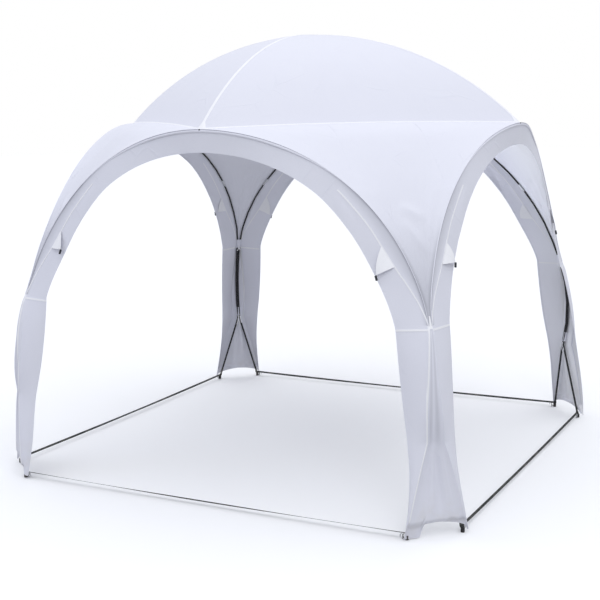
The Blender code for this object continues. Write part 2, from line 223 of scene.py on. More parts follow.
ROLL_START = 0.004          # from the arch's seam in to the rolled strip
ROLL_LIFT = 0.0008
LIP_BACK = 0.35             # share of the lip that lies behind the arch's seam

# Leg cloths
WING_SEAM_HEIGHT = 1.098
WING_SEAM_DROP = 0.008      # of that seam's outer end, on a corner's first wing
WEB_HEM = 0.078             # height of the web's hem midway between the feet, and beside a foot
WEB_HEM_END = 0.040
WEB_VALLEY = 0.55           # of the room behind the web
VALLEY_FOOT = 0.40          # height over which the web's valley runs out to the ground
FOLD_TOP = 0.12             # how far below the tie the folds between the feet have set in,
FOLD_FOOT = 0.30            # and the height over which they run out to the ground
HELD_RUN = 0.05             # height over which the poles start to hold the cloth out
WEB_SHADE = 0.42            # height where the web's darker band starts, for poles showing through and painted fold shade,
WEB_SHADE_RUN = 0.16        # and how much further up it is full
POLE_ROOM = 0.006           # from the poles out to cloth that is held over them
WING_HEM = 0.018
WING_HEM_RISE = 0.014
WING_HOLLOW = 0.008         # how far a wing is drawn in between its edge and its pole
WING_SHARE = 0.6            # of a leg cloth's half width in its grid, inside the pole's seam
LEG_WIDTH = 0.62
LEG_LENGTH = 1.1
HUB_PATCH_ANGLE = 0.036     # how far up the arches the patch over a hub reaches, and down the legs
HUB_PATCH_DROP = 0.018

# How the leg cloths hang, by corner and by which wing, in metres along the side and outwards:
# their free edges, how much further those lie inwards by the ground, and their seams above the tie
WING_SWAYS = {
    (0, False): (0.022, 0.0), (1, False): (0.020, 0.050),
    (3, False): (0.0, -0.010), (3, True): (-0.012, 0.0),
}
LOW_EDGES = {(1, True): 0.015, (3, True): 0.035}
LOW_EDGE_TOP = 0.55         # height where that starts, and how much further down it is full
LOW_EDGE_RUN = 0.35
FOOT_DROPS = {(0, False): 0.012}   # how much nearer the ground a wing hangs
SEAM_SHIFTS = {
    (0, False): (-0.026, 0.004), (0, True): (0.0, -0.009), (1, True): (-0.048, 0.010),
    (2, False): (-0.038, 0.009), (2, True): (-0.014, 0.002),
    (3, False): (0.0, -0.009), (3, True): (-0.045, 0.010),
}

# Tabs and toggles: a long tab on each side's right half and a short one on its left
TAB_TOP = math.radians(54.0)
TAB_FOOT = math.radians(60.0)
TAB_TIPS = {1.0: (math.radians(60.3), 0.096), -1.0: (math.radians(58.0), 0.078)}
TAB_STAND = Vector((0.0, -0.022, 0.0))  # from the valance out to a tab's tip
TAB_LIFT = 0.003            # of a tab's sewn edge off the valance
TAB_FULLNESS = 0.008        # how far its middle stands out
TAB_CURVE = 0.007           # how far its upper edge bows to the middle of the side
LINING_BACK = 0.0024        # how far its lining lies behind it, and how far that bows
LINING_CURVE = 0.012
TAB_WIDTH = 0.12
TOGGLE_HANG = Vector((-0.002, -0.001, -0.002))   # from a tab's tip to its toggle
TOGGLE_LEAN = Vector((0.009, -0.003, 0.0))       # from a toggle's top to its foot
TOGGLE_RADIUS = 0.0065
TOGGLE_RIM = 0.002

# Fittings on the rods
FERRULE_WALL = 0.0011
CROWN_SLEEVE_WALL = 0.0012
CROWN_SLEEVE_ANGLE = 0.015  # how far it reaches to each side of the crown
KNOB_BACK = Vector((0.0, 0.004, -0.004))    # a crown's knob, from the seam over the arch
KNOB_FRONT = Vector((0.0, -0.006, -0.003))
KNOB_RADIUS = 0.0044
KNOB_RIM = 0.001

# Ties and sleeves on a corner's poles
HUB_TIE = HUB_HEIGHT - 0.010
FOOT_TIE = TIE_HEIGHT + 0.030
TIE_WIDTH = 0.007
TIE_ROOM = 0.003            # from a pole's inner side to a tape end that hangs from it
TIE_CURL = 0.008
SLEEVE_ROOM = 0.0010
HUB_SLEEVE = (HUB_TIE - 0.012, HUB_TIE + 0.058)
FOOT_SLEEVE_START = FOOT_TIE - 0.005
TIE_TAILS = (               # height, which pole, lean and length
    (HUB_TIE + 0.006, False, 0.020, 0.042),
    (HUB_TIE + 0.006, True, -0.020, 0.036),
    (FOOT_TIE - 0.010, False, -0.014, 0.060),
    (FOOT_TIE - 0.006, True, -0.016, 0.095),
    (FOOT_TIE - 0.030, True, 0.012, 0.050),
)

# Ground straps and pegs
STRAP_HEIGHT = 0.034
STRAP_SAG = 0.007
STRAP_TILTS = {"front": 0.2, "right": -0.8, "back": 0.6, "left": 0.5}   # from lying flat, in radians
STRAP_TWIST = 0.2           # how much the tilt sways along a strap, in radians
STRAP_CLEAR = 0.001         # from a strap's end to its leg
COLLAR_ROOM = 0.0016
LOW_ON_LEG = 0.012          # height on a leg that its loop and its peg are set beside
LOOP_FOOT = 0.006           # height of an end loop's lower end
LOOP_IN = 0.014             # from the leg in to the loop's middle
LOOP_HALF = 0.010           # half its width
LOOP_WEBBING = 0.010
PEG_IN = 0.030              # from a leg in to its peg, which is a hook with a long and a short end
PEG_RADIUS = 0.0022
PEG_BEND = 0.007
PEG_TOP = 0.022
PEG_LONG_END = 0.001        # heights of its two ends
PEG_SHORT_END = 0.012

# The studio: name, power, colour, place, aim, width and spread in degrees of each soft light
SOFT_LIGHTS = (
    ("soft_key", "key", "sky", (4.5, -6.0, 7.0), (0.0, 0.0, 1.2), 3.0, 180.0),
    ("soft_left", "left", "blue", (-5.5, -4.0, 3.0), (-0.6, -0.6, 1.2), 3.0, 180.0),
    ("soft_bounce", "bounce", "sky", (0.0, 0.0, 0.05), (0.0, 0.0, 1.0), 2.4, 180.0),
    ("soft_through", "through", "shade", (-0.8, 1.5, 0.4), (1.25, 0.85, 1.95), 0.4, 60.0),
)
FLOOR_RADIUS = 45.0
FLOOR_DROP = 0.0005         # of the floor below the feet

# The studio camera, fitted to the photograph's frame of 600 by 600
CAMERA_PLACE = Vector((3.46840, -7.06850, 2.30335))
CAMERA_YAW = -0.467498
CAMERA_PITCH = -0.168690
CAMERA_ROLL = -0.012838
CAMERA_SENSOR = 36.0
CAMERA_LENS = 1190.2 * CAMERA_SENSOR / 600.0


def length_prop(name, description, default):
    return FloatProperty(
        name=name, description=description, default=default, min=0.0, max=1.0,
        precision=4, unit="LENGTH",
    )


def colour_prop(name, description, *colour):
    return FloatVectorProperty(
        name=name, description=description, default=(*colour, 1.0), size=4, min=0.0, max=1.0,
        subtype="COLOR",
    )


def light_prop(name, description, default, unit="POWER"):
    return FloatProperty(name=name, description=description, default=default, min=0.0, unit=unit)


class TentSizes(bpy.types.PropertyGroup):
    cloth: length_prop("Cloth", "Thickness of the canopy cloth", 0.0010)
    seam: length_prop("Seam", "Thickness of a lapped seam or a hem", 0.0030)
    ridge_tape: length_prop("Roof tape", "Width of the tapes up the roof's ridges", 0.022)
    chord_tape: length_prop("Roof edge tape", "Width of the tapes between the crowns", 0.016)
    crown_patch: length_prop("Crown patch", "Width of the ridge tape's flared end at a crown", 0.070)
    leg_tape: length_prop("Leg tape", "Width of the tapes on the legs' seams", 0.011)
    hem: length_prop("Hem", "Width of the hems along the doorways", 0.012)
    roll: length_prop("Edge roll", "Width of the rolled strip below each arch's edge", 0.013)
    gusset: length_prop("Inner seam", "Width of the valances' inner seams", 0.008)
    lip: length_prop("Arch lip", "How far the corner panels' edges stand out over the valances", 0.006)
    wrinkle: length_prop("Wrinkles", "Depth of the cloth's long soft wrinkles", 0.0035)
    fold: length_prop("Leg folds", "Depth of the folds between the feet, by the metre across", 0.034)
    thread: length_prop("Thread", "Spacing of the cloth's threads", 0.0009)
    ferrule: length_prop("Ferrule", "Length of the steel ferrule at a rod's joint", 0.062)
    tie: length_prop("Pole sleeve", "Height of the sleeves round the poles above the feet", 0.060)
    toggle: length_prop("Toggle", "Length of a tab's toggle", 0.026)
    strap: length_prop("Strap", "Width of the ground straps", 0.015)


class TentColours(bpy.types.PropertyGroup):
    cloth: colour_prop("Cloth", "The canopy's polyester", 0.76, 0.765, 0.835)
    # Painted shade: the colour the cloth darkens to between its threads and along its creases
    cloth_shade: colour_prop("Cloth shade", "Its slightly deeper threads and creases", 0.69, 0.70, 0.785)
    # Painted light: the inner face is lighter than the outer, and lighter still where light would come
    # through the cloth
    lining: colour_prop("Inside", "The cloth's inner face", 0.79, 0.795, 0.87)
    lining_lit: colour_prop("Inside, lit", "The inner face where light comes through", 0.97, 0.975, 1.0)
    tape: colour_prop("Tape", "Seam tapes, hems and ties", 0.91, 0.91, 0.935)
    thread: colour_prop("Stitching", "Sewing thread", 0.70, 0.71, 0.78)
    dust: colour_prop("Dust", "Dust on the cloth near the ground", 0.60, 0.56, 0.49)
    rod: colour_prop("Rod", "Fibreglass rods", 0.012, 0.012, 0.014)
    tube: colour_prop("Leg tube", "Powder-coated leg tubes", 0.018, 0.018, 0.021)
    scuff: colour_prop("Scuffs", "Where a pole's finish is rubbed", 0.09, 0.09, 0.095)
    # The cloth darkens to this where a black pole shows through it, and where shade is painted: beside the
    # rods, under the arches and toward the hubs
    backed: colour_prop("Backed cloth", "Cloth with a black pole close behind it", 0.34, 0.345, 0.39)
    steel: colour_prop("Steel", "Ferrules and pegs", 0.62, 0.63, 0.65)
    webbing: colour_prop("Webbing", "Ground straps", 0.016, 0.018, 0.016)
    toggle: colour_prop("Toggle", "Toggles and end fittings", 0.012, 0.013, 0.018)


class TentStudio(bpy.types.PropertyGroup):
    floor: colour_prop("Floor", "The studio's pale floor", 0.96, 0.96, 0.96)
    floor_light: colour_prop("Floor light", "How much light the floor throws back up", 0.53, 0.53, 0.53)
    sky: colour_prop("Sky", "The soft light from above", 0.93, 0.95, 1.0)
    sky_top: light_prop("Light from above", "Strength overhead", 1.38, "NONE")
    sky_side: light_prop("Light from the sides", "Strength at eye level", 0.45, "NONE")
    key: light_prop("Key light", "Power of the soft light", 75.0)
    blue: colour_prop("Left light colour", "Colour of the soft light from the left", 0.35, 0.45, 1.0)
    shade: colour_prop("Inner light colour", "Colour of the light through the cloth", 0.84, 0.88, 1.0)
    left: light_prop("Left light", "Power of the light from the left", 13.0)
    bounce: light_prop("Bounce", "Power of the light off the ground inside", 1.4)
    through: light_prop("Light through the cloth", "Power of the light on the lit inner corner", 2.7)


# The tent's surfaces

def on_half(point, sign):
    """The point itself, or its mirror image on the side's left half where the sign is below 0."""
    return Vector((-point.x, point.y, point.z)) if sign < 0 else point


def across_corner(point):
    """The same place on the right side's arch, mirrored over the front right diagonal."""
    return Vector((-point.y, -point.x, point.z))


def on_pole(point, second):
    """The point itself, or its mirror image beside the corner's second pole."""
    return across_corner(point) if second else point


def mirrored(surface):
    return lambda down, across: on_half(surface(down, across), -1)


def crossed(surface):
    return lambda down, across: across_corner(surface(down, across))


def arch_point(angle):
    """The front arch's centre line between its hubs; the angle is from the crown, + to the right."""
    turn = abs(angle)
    reach = (ARCH_RADIUS - POLE_SPREAD / math.sin(HUB_ANGLE)) * math.sin(turn)
    line = smooth(ARCH_LINES, turn, end_slope=(0.0, ARCH_RADIUS * math.cos(HUB_ANGLE)))
    height = ARCH_CENTRE_HEIGHT + ARCH_RADIUS * math.cos(turn)
    return Vector((math.copysign(reach, angle), -line, height))


def leg_point(height):
    """The front arch's right leg: beside its neighbour down to the tie, then out to its foot."""
    level = max(height, TIE_HEIGHT)
    corner = math.sqrt(ARCH_RADIUS ** 2 - (level - ARCH_CENTRE_HEIGHT) ** 2)
    point = Vector((corner - POLE_SPREAD, -corner - POLE_SPREAD, level))
    if height < TIE_HEIGHT:
        foot = Vector((FOOT_REACH, -FOOT_LINE, 0.0))
        point = foot.lerp(point, height / TIE_HEIGHT)
    return point


def seam_point(pole, along, to_panel, to_valance, radius):
    """Where two sheets meet outside a pole, each just clear of it."""
    along = along.normalized()
    first = (to_panel - along * to_panel.dot(along)).normalized()
    second = (to_valance - along * to_valance.dot(along)).normalized()
    inward = (first + second).normalized()
    clear = radius + GAP + FIT + FRAME_CLOTH / 2
    return pole - inward * clear / math.sin(first.angle(second) / 2)


def panel_bow(angle):
    """How far a corner panel's middle stands out from the straight line between its arches."""
    share = angle / HUB_ANGLE
    rise = CHORD_RISE * (1.0 - ease(share / RISE_END))
    sag = PANEL_SAG * math.sin(math.pi * ease(share)) * ease(share / SAG_START)
    tilt = CROWN_TILT + (HUB_TILT - CROWN_TILT) * share
    return (OUTWARD * math.cos(tilt) + Vector((0.0, 0.0, math.sin(tilt)))) * (rise - sag)


def bow_share(across):
    """How much of a bow shows at a share of the way across it."""
    return 4.0 * across * (1.0 - across)


def band_width(angle):
    return smooth(BAND_WIDTHS, abs(angle), end_slope=(0.0, 0.0))


def band_edge(angle):
    """The valance's inner edge beside the front arch."""
    turn = abs(angle)
    late = ease((turn - BAND_LEAN_START) / (HUB_ANGLE - BAND_LEAN_START))
    lean = turn + (QUARTER - HUB_ANGLE) * late
    point = arch_point(turn)
    point -= Vector((math.sin(lean), 0.0, math.cos(lean))) * band_width(turn)
    point.y = -smooth(BAND_LINES, turn)
    return on_half(point, angle)


def rod_seam(turn):
    """Where the valance and a corner panel meet outside the front arch's right half."""
    pole = arch_point(turn)
    if turn + READING_STEP < HUB_ANGLE:
        along = arch_point(turn + READING_STEP) - arch_point(turn - READING_STEP)
    else:
        along = pole - arch_point(turn - READING_STEP)
    other = across_corner(pole)
    to_panel = pole.lerp(other, NEAR_POLE) + panel_bow(turn) * bow_share(NEAR_POLE) - pole
    return seam_point(pole, along, to_panel, band_edge(turn) - pole, ROD_RADIUS)


def wing_edge(height):
    """The inner edge of the front side's right wing, below the hub."""
    return Vector((smooth(WING_REACHES, height), -smooth(WING_LINES, height), height))


def leg_seam(height):
    """The seam line outside the front arch's right leg."""
    pole = leg_point(height)
    along = leg_point(height + READING_STEP) - leg_point(height - READING_STEP)
    to_web = Vector((1.0, 1.0, 0.0))
    wing_way = wing_edge(height) - pole
    lean = max(wing_way.y / wing_way.x, LEAST_LEAN)
    to_wing = Vector((-1.0, -lean / 2.0, 0.0))
    slack = FORWARD * smooth(LEG_SLACKS, height)
    return seam_point(pole, along, to_web, to_wing, LEG_RADIUS) + slack


HUB_STEP = leg_seam(HUB_HEIGHT) - rod_seam(HUB_ANGLE)


def arch_seam(angle):
    """The seam line outside the front arch; over its last stretch it runs into the leg's seam."""
    turn = abs(angle)
    near_hub = ease((turn - HUB_ANGLE + HUB_STRETCH) / HUB_STRETCH)
    point = rod_seam(turn) + HUB_STEP * near_hub
    return on_half(point, angle)


def pole_at(height):
    """The middle of the front arch's right pole, by height, from the tie up past the hub."""
    if height <= HUB_HEIGHT:
        return leg_point(height)
    return arch_point(math.acos((height - ARCH_CENTRE_HEIGHT) / ARCH_RADIUS))


def roof_arc():
    """Radius, centre height and half angle of the arc that a roof seam follows over its rod."""
    seam = arch_seam(0.0)
    top = APEX_HEIGHT - FRAME_CLOTH / 2
    reach, rise = -seam.y, top - seam.z
    radius = (reach ** 2 + rise ** 2) / (2.0 * rise)
    return radius, top - radius, math.asin(reach / radius)


ROOF_RADIUS, ROOF_CENTRE, ROOF_END = roof_arc()


def gore(down, across):
    """The front right roof gore, from the apex down to the seam between two crowns."""
    angle = ROOF_END * down
    reach, height = ROOF_RADIUS * math.sin(angle), ROOF_CENTRE + ROOF_RADIUS * math.cos(angle)
    point = Vector((0.0, -reach, height)).lerp(Vector((reach, 0.0, height)), across)
    return point + panel_bow(0.0) * bow_share(across) * down ** 2


def corner(down, across):
    """The front right corner panel, from the seam between the crowns down to the hub."""
    angle = HUB_ANGLE * down
    start = arch_seam(angle)
    point = start.lerp(across_corner(start), across)
    return point + panel_bow(angle) * bow_share(across)


def band_angle(across):
    """The angle from the crown at a share of the way from hub to hub."""
    return HUB_ANGLE * (2.0 * across - 1.0)


def band_at(angle, share):
    """The front valance, from 0 at the arch to 1 at its inner edge."""
    return arch_seam(angle).lerp(band_edge(angle), share)


def band_spot(angle, depth):
    """The front valance again, by metres in from the arch."""
    return band_at(angle, depth / band_width(angle))


def gusset_depth(angle):
    return smooth(GUSSET_DEPTHS, max(angle, GUSSET_START))


def gusset_seam(angle, offset=0.0):
    """The inner seam of the front valance's right half, or a point that far in from it."""
    return band_spot(angle, gusset_depth(angle) + offset)


def leg_height(down, hem):
    """Height at a share of the way down a leg cloth that ends at a height of hem."""
    return HUB_HEIGHT + (WING_HEM - HUB_HEIGHT) * down + (hem - WING_HEM) * down ** 3


def hang_shift(height, quarter, second):
    """How far a leg's seam hangs from its pole, between the tie and the hub."""
    along, out = SEAM_SHIFTS.get((quarter, second), (0.0, 0.0))
    between = min(max((height - TIE_HEIGHT) / (HUB_HEIGHT - TIE_HEIGHT), 0.0), 1.0)
    return Vector((along, -out, 0.0)) * math.sin(math.pi * between)


def hung_seam(height, quarter, second):
    return leg_seam(height) + hang_shift(height, quarter, second)


SOFT_STEP = 0.02            # between the heights where the eased seam is kept
SOFT_REACH = 0.07           # how far above and below each it is averaged
SOFT_SHIFTS = (-1.0, -0.5, 0.0, 0.5, 1.0)
SOFT_SEAMS = [
    sum((leg_seam(i * SOFT_STEP + shift * SOFT_REACH) for shift in SOFT_SHIFTS), Vector()) / len(SOFT_SHIFTS)
    for i in range(int(HUB_HEIGHT / SOFT_STEP) + 2)
]


def soft_seam(height):
    """The leg's seam line with its bend at the tie eased, for the cloth beside the seam."""
    i = min(max(int(height / SOFT_STEP), 0), len(SOFT_SEAMS) - 2)
    return SOFT_SEAMS[i].lerp(SOFT_SEAMS[i + 1], height / SOFT_STEP - i)


def wing(down, share, quarter, second=False):
    """The front side's right wing, from its free edge to its pole's seam; the second is its mirror."""
    key = (quarter, second)
    height = leg_height(down, WING_HEM + WING_HEM_RISE * share - FOOT_DROPS.get(key, 0.0))
    along, out = WING_SWAYS.get(key, (0.0, 0.0))
    sway = math.sin(math.pi * min(height / HUB_HEIGHT, 1.0)) ** 0.6
    low = LOW_EDGES.get(key, 0.0) * ease((LOW_EDGE_TOP - height) / LOW_EDGE_RUN)
    edge = wing_edge(height) + Vector((along, -out, 0.0)) * sway - Vector((low, 0.0, 0.0))
    seam = hung_seam(height, quarter, second)
    below_hub = ease(down * 5.0)
    eased = soft_seam(height) + hang_shift(height, quarter, second)
    beside = seam.lerp(eased, below_hub * (1.0 - share ** 3))
    beside.z = seam.z
    return edge.lerp(beside, share) + FORWARD * WING_HOLLOW * bow_share(share) * below_hub


def web_hem(share, quarter):
    """Height of the web's hem between a corner's feet; one foot of the front corner drags it down."""
    hem = WEB_HEM_END + (WEB_HEM - WEB_HEM_END) * math.sin(math.pi * share) ** 0.6
    if quarter == 0:
        hem -= (hem - WING_HEM + FOOT_DROPS[0, False]) * (1.0 - ease((share - 0.24) / 0.06))
    return hem


def web(down, share, quarter):
    """The cloth between a corner's two poles, with the valley and folds that the tie gathers."""
    height = leg_height(down, web_hem(share, quarter))
    start = hung_seam(height, quarter, False)
    end = across_corner(hung_seam(height, quarter, True))
    point = start.lerp(end, share)
    valley = WEB_VALLEY * smooth(LEG_SLACKS, height) * ease(height / VALLEY_FOOT)
    valley *= math.sin(math.pi * share ** 0.75)
    below = ease((TIE_HEIGHT - height) / FOLD_TOP) * ease(height / FOLD_FOOT)
    ripple = 0.6 - 2.0 * abs(math.sin(math.pi * (2.5 * share + 0.31 * quarter)))
    ripple += 0.3 - abs(math.sin(math.pi * (4.0 * share + 0.17 + 0.43 * quarter)))
    depth = bpy.context.scene.tent_sizes.fold * (end - start).length
    point += OUTWARD * (ripple * below * depth * math.sin(math.pi * share) - valley)
    pole = leg_point(height)
    short = (pole + across_corner(pole)).dot(OUTWARD) / 2 + LEG_RADIUS + POLE_ROOM - point.dot(OUTWARD)
    held = ease((height - TIE_HEIGHT + HELD_RUN) / HELD_RUN) * ease((HUB_HEIGHT - height) / HELD_RUN)
    return point + OUTWARD * max(short, 0.0) * held


def leg_side(across):
    """From 0 at either free edge of a leg cloth to 1 at its middle."""
    return 1.0 - abs(2.0 * across - 1.0)


def web_share(side):
    """From 0 at a pole to 0.5 at the middle of the web, and below 0 on a wing."""
    return (side - WING_SHARE) / (1.0 - WING_SHARE) / 2.0


def leg_cloth(down, across, quarter):
    """A corner's whole leg cloth: wing, web and wing, from the front side round to the right one."""
    side = leg_side(across)
    second = across > 0.5
    if side <= WING_SHARE:
        return on_pole(wing(down, side / WING_SHARE, quarter, second), second)
    share = web_share(side)
    return web(down, 1.0 - share if second else share, quarter)


def fold_share(point, start, end, facing, width):
    """How much of a fold from start to end shows at a point, from 0 to 1, sharp along its crest."""
    line = end - start
    along = (point - start).dot(line) / line.length_squared
    near = 1.0 - abs((point - start).dot(facing.cross(line).normalized())) / width
    if near <= 0.0 or along <= 0.0 or along >= 1.0:
        return 0.0
    return near ** 1.4 * math.sin(math.pi * along) ** 0.7


def cloud(point, size, seed):
    """Smooth seeded noise from -1 to 1, the same on every run."""
    return noise.noise(point / size + Vector((seed * 17.3, seed * 5.1, seed * 9.7)))


# Building meshes

def add_grid(bm, rows, columns, surface, width, length):
    """Lay a grid on surface(down, across), its UVs in metres with 0 down its middle, facing out."""
    uv = bm.loops.layers.uv.verify()
    made = bmesh.ops.create_grid(bm, x_segments=columns, y_segments=rows, size=0.5)["verts"]
    spots = {vert: (vert.co.y + 0.5, vert.co.x) for vert in made}
    faces = {face for vert in made for face in vert.link_faces}
    for face in faces:
        for loop in face.loops:
            down, across = spots[loop.vert]
            loop[uv].uv = (across * width, down * length)
    for vert, (down, across) in spots.items():
        vert.co = surface(down, across + 0.5)
    facing = 0.0
    for face in faces:
        face.normal_update()
        facing += face.normal.dot(face.calc_center_median() - INSIDE) * face.calc_area()
    if facing < 0:
        bmesh.ops.reverse_faces(bm, faces=list(faces))
    bm.normal_update()
    return spots


def finish_piece(name, bm, look, quarter=0, thickness=0.0, slot="canopy_cloth", lined=False):
    """Make the mesh a piece of the tent, turned to its quarter, riding on the frame."""
    turn = Matrix.Rotation(quarter * QUARTER, 3, "Z")
    bmesh.ops.rotate(bm, cent=(0.0, 0.0, 0.0), matrix=turn, verts=bm.verts)
    for face in bm.faces:
        face.smooth = True
    for edge in bm.edges:
        edge.smooth = not edge.is_boundary
    mesh = bpy.data.meshes.new(name)
    bm.to_mesh(mesh)
    bm.free()
    mesh.materials.append(finish(look))
    piece = bpy.data.objects.new(name, mesh)
    bpy.context.scene.collection.objects.link(piece)
    if thickness > 0.0:
        solidify = piece.modifiers.new("Thickness", "SOLIDIFY")
        solidify.thickness = thickness
        solidify.offset = 0.0
        solidify.use_quality_normals = True
        if lined:
            mesh.materials.append(finish("lining"))
            solidify.material_offset = 1
    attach(piece, "root")
    return piece


def add_trim(name, look, quarter, thickness, *grids, merge=0.0, slot="canopy_cloth"):
    """A piece made of grids, each given as its rows, columns, surface, width and length."""
    bm = bmesh.new()
    for grid in grids:
        add_grid(bm, *grid)
    if merge > 0.0:
        bmesh.ops.remove_doubles(bm, verts=bm.verts, dist=merge)
    return finish_piece(name, bm, look, quarter, thickness, slot)


# A kind of sheet: its grid, its cloth's width and length for the weave and for the distances to its
# seams, its sewn sides, and the flat size and area of its cut shape
Sheet = namedtuple("Sheet", "rows columns span seam_span sewn cut area")
ROOF_GORE = Sheet(
    56, 56, (1.9, GORE_LENGTH), (1.5, GORE_LENGTH), ("start", "end", "foot"), (1.98, 1.55), 1.27,
)
CORNER_PANEL = Sheet(96, 72, (1.9, 1.8), (1.2, 1.79), ("top", "start", "end"), (1.98, 1.45), 0.97)
VALANCE = Sheet(
    16, 144, (ARCH_LENGTH, BAND_DEPTH), (ARCH_LENGTH, BAND_DEPTH), ("top",), (0.19, 3.60), 0.54,
)
LEG_CLOTH = Sheet(
    72, 80, (LEG_WIDTH, LEG_LENGTH), (LEG_WIDTH, LEG_LENGTH), ("top",), (0.48, 1.10), 0.45,
)


def add_sheet(name, node, quarter, sheet, surface, relief, pole_and_shade_share, with_pieces):
    """A sheet of canopy cloth that stands for a plain solid of the frame.

    It is pushed out along its own normals by relief(point, down, across) metres. The function after relief
    gives how far its colour is darkened, from 0 to 1 at a place down and across: where a pole shows
    through it, and by painted shade.
    """
    bm = bmesh.new()
    bm.loops.layers.uv.verify()
    from_seam = bm.verts.layers.float.new("seam")
    backed = bm.verts.layers.float.new("backed")
    spots = add_grid(bm, sheet.rows, sheet.columns, surface, *sheet.span)
    places = {vert: (down, across + 0.5) for vert, (down, across) in spots.items()}
    moves = [(vert, vert.normal * relief(vert.co, *place)) for vert, place in places.items()]
    for vert, move in moves:
        vert.co += move
    width, length = sheet.seam_span
    for vert, (down, across) in places.items():
        reach = {
            "top": down * length, "foot": (1.0 - down) * length,
            "start": across * width, "end": (1.0 - across) * width,
        }
        vert[from_seam] = min(reach[side] for side in sheet.sewn)
        vert[backed] = pole_and_shade_share(down, across) if pole_and_shade_share else 0.0
    if sheet is ROOF_GORE:
        bmesh.ops.remove_doubles(bm, verts=bm.verts, dist=APEX_MERGE)
    thickness = bpy.context.scene.tent_sizes.cloth
    piece = finish_piece(name, bm, "cloth", quarter, thickness, lined=True)
    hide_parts(node)
    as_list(with_pieces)


def wrinkled(seed, edge_fade):
    """Relief for a sheet: long soft wrinkles that die out at its sewn edges."""
    depth = bpy.context.scene.tent_sizes.wrinkle

    def relief(point, down, across):
        broad = cloud(point, 0.42, seed)
        fine = cloud(Vector((point.x * 2.0, point.y * 2.0, point.z)), 0.20, seed + 3)
        return depth * edge_fade(down, across) * (broad + 0.45 * fine)

    return relief


def edges_at(verts):
    """The edges at some points, each once and in the same order on every run."""
    return list(dict.fromkeys(edge for vert in verts for edge in vert.link_edges))


def add_tube(bm, points, radius, segments):
    """A closed round bar through a line of points, by rings that are bridged."""
    rings = []
    for i, point in enumerate(points):
        way = points[min(i + 1, len(points) - 1)] - points[max(i - 1, 0)]
        place = Matrix.Translation(point) @ way.to_track_quat("Z", "X").to_matrix().to_4x4()
        ring = bmesh.ops.create_circle(bm, segments=segments, radius=radius, matrix=place)
        rings.append(edges_at(ring["verts"]))
    for low, high in zip(rings, rings[1:]):
        bmesh.ops.bridge_loops(bm, edges=low + high)
    bmesh.ops.holes_fill(bm, edges=rings[0] + rings[-1], sides=segments)


def add_barrel(bm, start, end, radius, bevel):
    """A round bar from start to end with rounded rims."""
    line = end - start
    turn = line.to_track_quat("Z", "X").to_matrix().to_4x4()
    made = bmesh.ops.create_cone(
        bm, cap_ends=True, segments=20, radius1=radius, radius2=radius,
        depth=line.length, matrix=Matrix.Translation((start + end) / 2) @ turn,
    )
    rims = [
        edge for edge in edges_at(made["verts"])
        if sum(len(face.verts) > 4 for face in edge.link_faces) == 1
    ]
    bmesh.ops.bevel(
        bm, geom=rims, offset=bevel, segments=3, affect="EDGES", profile=0.5, material=-1,
    )


# Materials. Where a label has spaces, it is given with underscores.

def wire(tree, target, value):
    """Link an output to a socket, or set the socket to a plain value."""
    if isinstance(value, bpy.types.NodeSocket):
        tree.links.new(value, target)
    else:
        target.default_value = value


def maths(tree, operation, *values):
    node = tree.nodes.new("ShaderNodeMath")
    node.operation = operation
    for target, value in zip(node.inputs, values):
        wire(tree, target, value)
    return node.outputs[0]


def plus(tree, first, second):
    return maths(tree, "ADD", first, second)


def times(tree, first, second):
    return maths(tree, "MULTIPLY", first, second)


def vectors(tree, operation, first, second):
    node = tree.nodes.new("ShaderNodeVectorMath")
    node.operation = operation
    wire(tree, node.inputs[0], first)
    wire(tree, node.inputs[1], second)
    return node.outputs[0]


def split(tree, vector):
    node = tree.nodes.new("ShaderNodeSeparateXYZ")
    wire(tree, node.inputs[0], vector)
    return node.outputs


def attribute(tree, name):
    node = tree.nodes.new("ShaderNodeAttribute")
    node.attribute_name = name
    return node.outputs["Fac"]


def noise_at(tree, vector, scale, detail=2.0, roughness=0.5, output="Fac"):
    node = tree.nodes.new("ShaderNodeTexNoise")
    wire(tree, node.inputs["Vector"], vector)
    wire(tree, node.inputs["Scale"], scale)
    node.inputs["Detail"].default_value = detail
    node.inputs["Roughness"].default_value = roughness
    return node.outputs[output]


def ranged(tree, value, low, high, to_low=0.0, to_high=1.0):
    node = tree.nodes.new("ShaderNodeMapRange")
    node.interpolation_type = "SMOOTHSTEP"
    for target, given in zip(node.inputs, (value, low, high, to_low, to_high)):
        wire(tree, target, given)
    return node.outputs[0]


def blended(tree, share, first, second):
    node = tree.nodes.new("ShaderNodeMix")
    node.data_type = "RGBA"
    wire(tree, node.inputs["Factor"], share)
    wire(tree, node.inputs[6], first)
    wire(tree, node.inputs[7], second)
    return node.outputs[2]


def laid_over(tree, colour, over, mask, strength):
    """A colour with another over it where the mask is."""
    return blended(tree, times(tree, mask, strength), colour, over)


def new_group(name, **inputs):
    """A group's tree and the sockets it is given: a vector where there is no plain number."""
    tree = bpy.data.node_groups.new(name, "ShaderNodeTree")
    for label, value in inputs.items():
        kind = "NodeSocketVector" if value is None else "NodeSocketFloat"
        socket = tree.interface.new_socket(label.replace("_", " "), in_out="INPUT", socket_type=kind)
        if value is not None:
            socket.default_value = value
    return tree, tree.nodes.new("NodeGroupInput").outputs


def end_group(tree, **outputs):
    for label in outputs:
        tree.interface.new_socket(label.replace("_", " "), in_out="OUTPUT", socket_type="NodeSocketFloat")
    out = tree.nodes.new("NodeGroupOutput")
    for label, value in outputs.items():
        wire(tree, out.inputs[label.replace("_", " ")], value)
    return tree


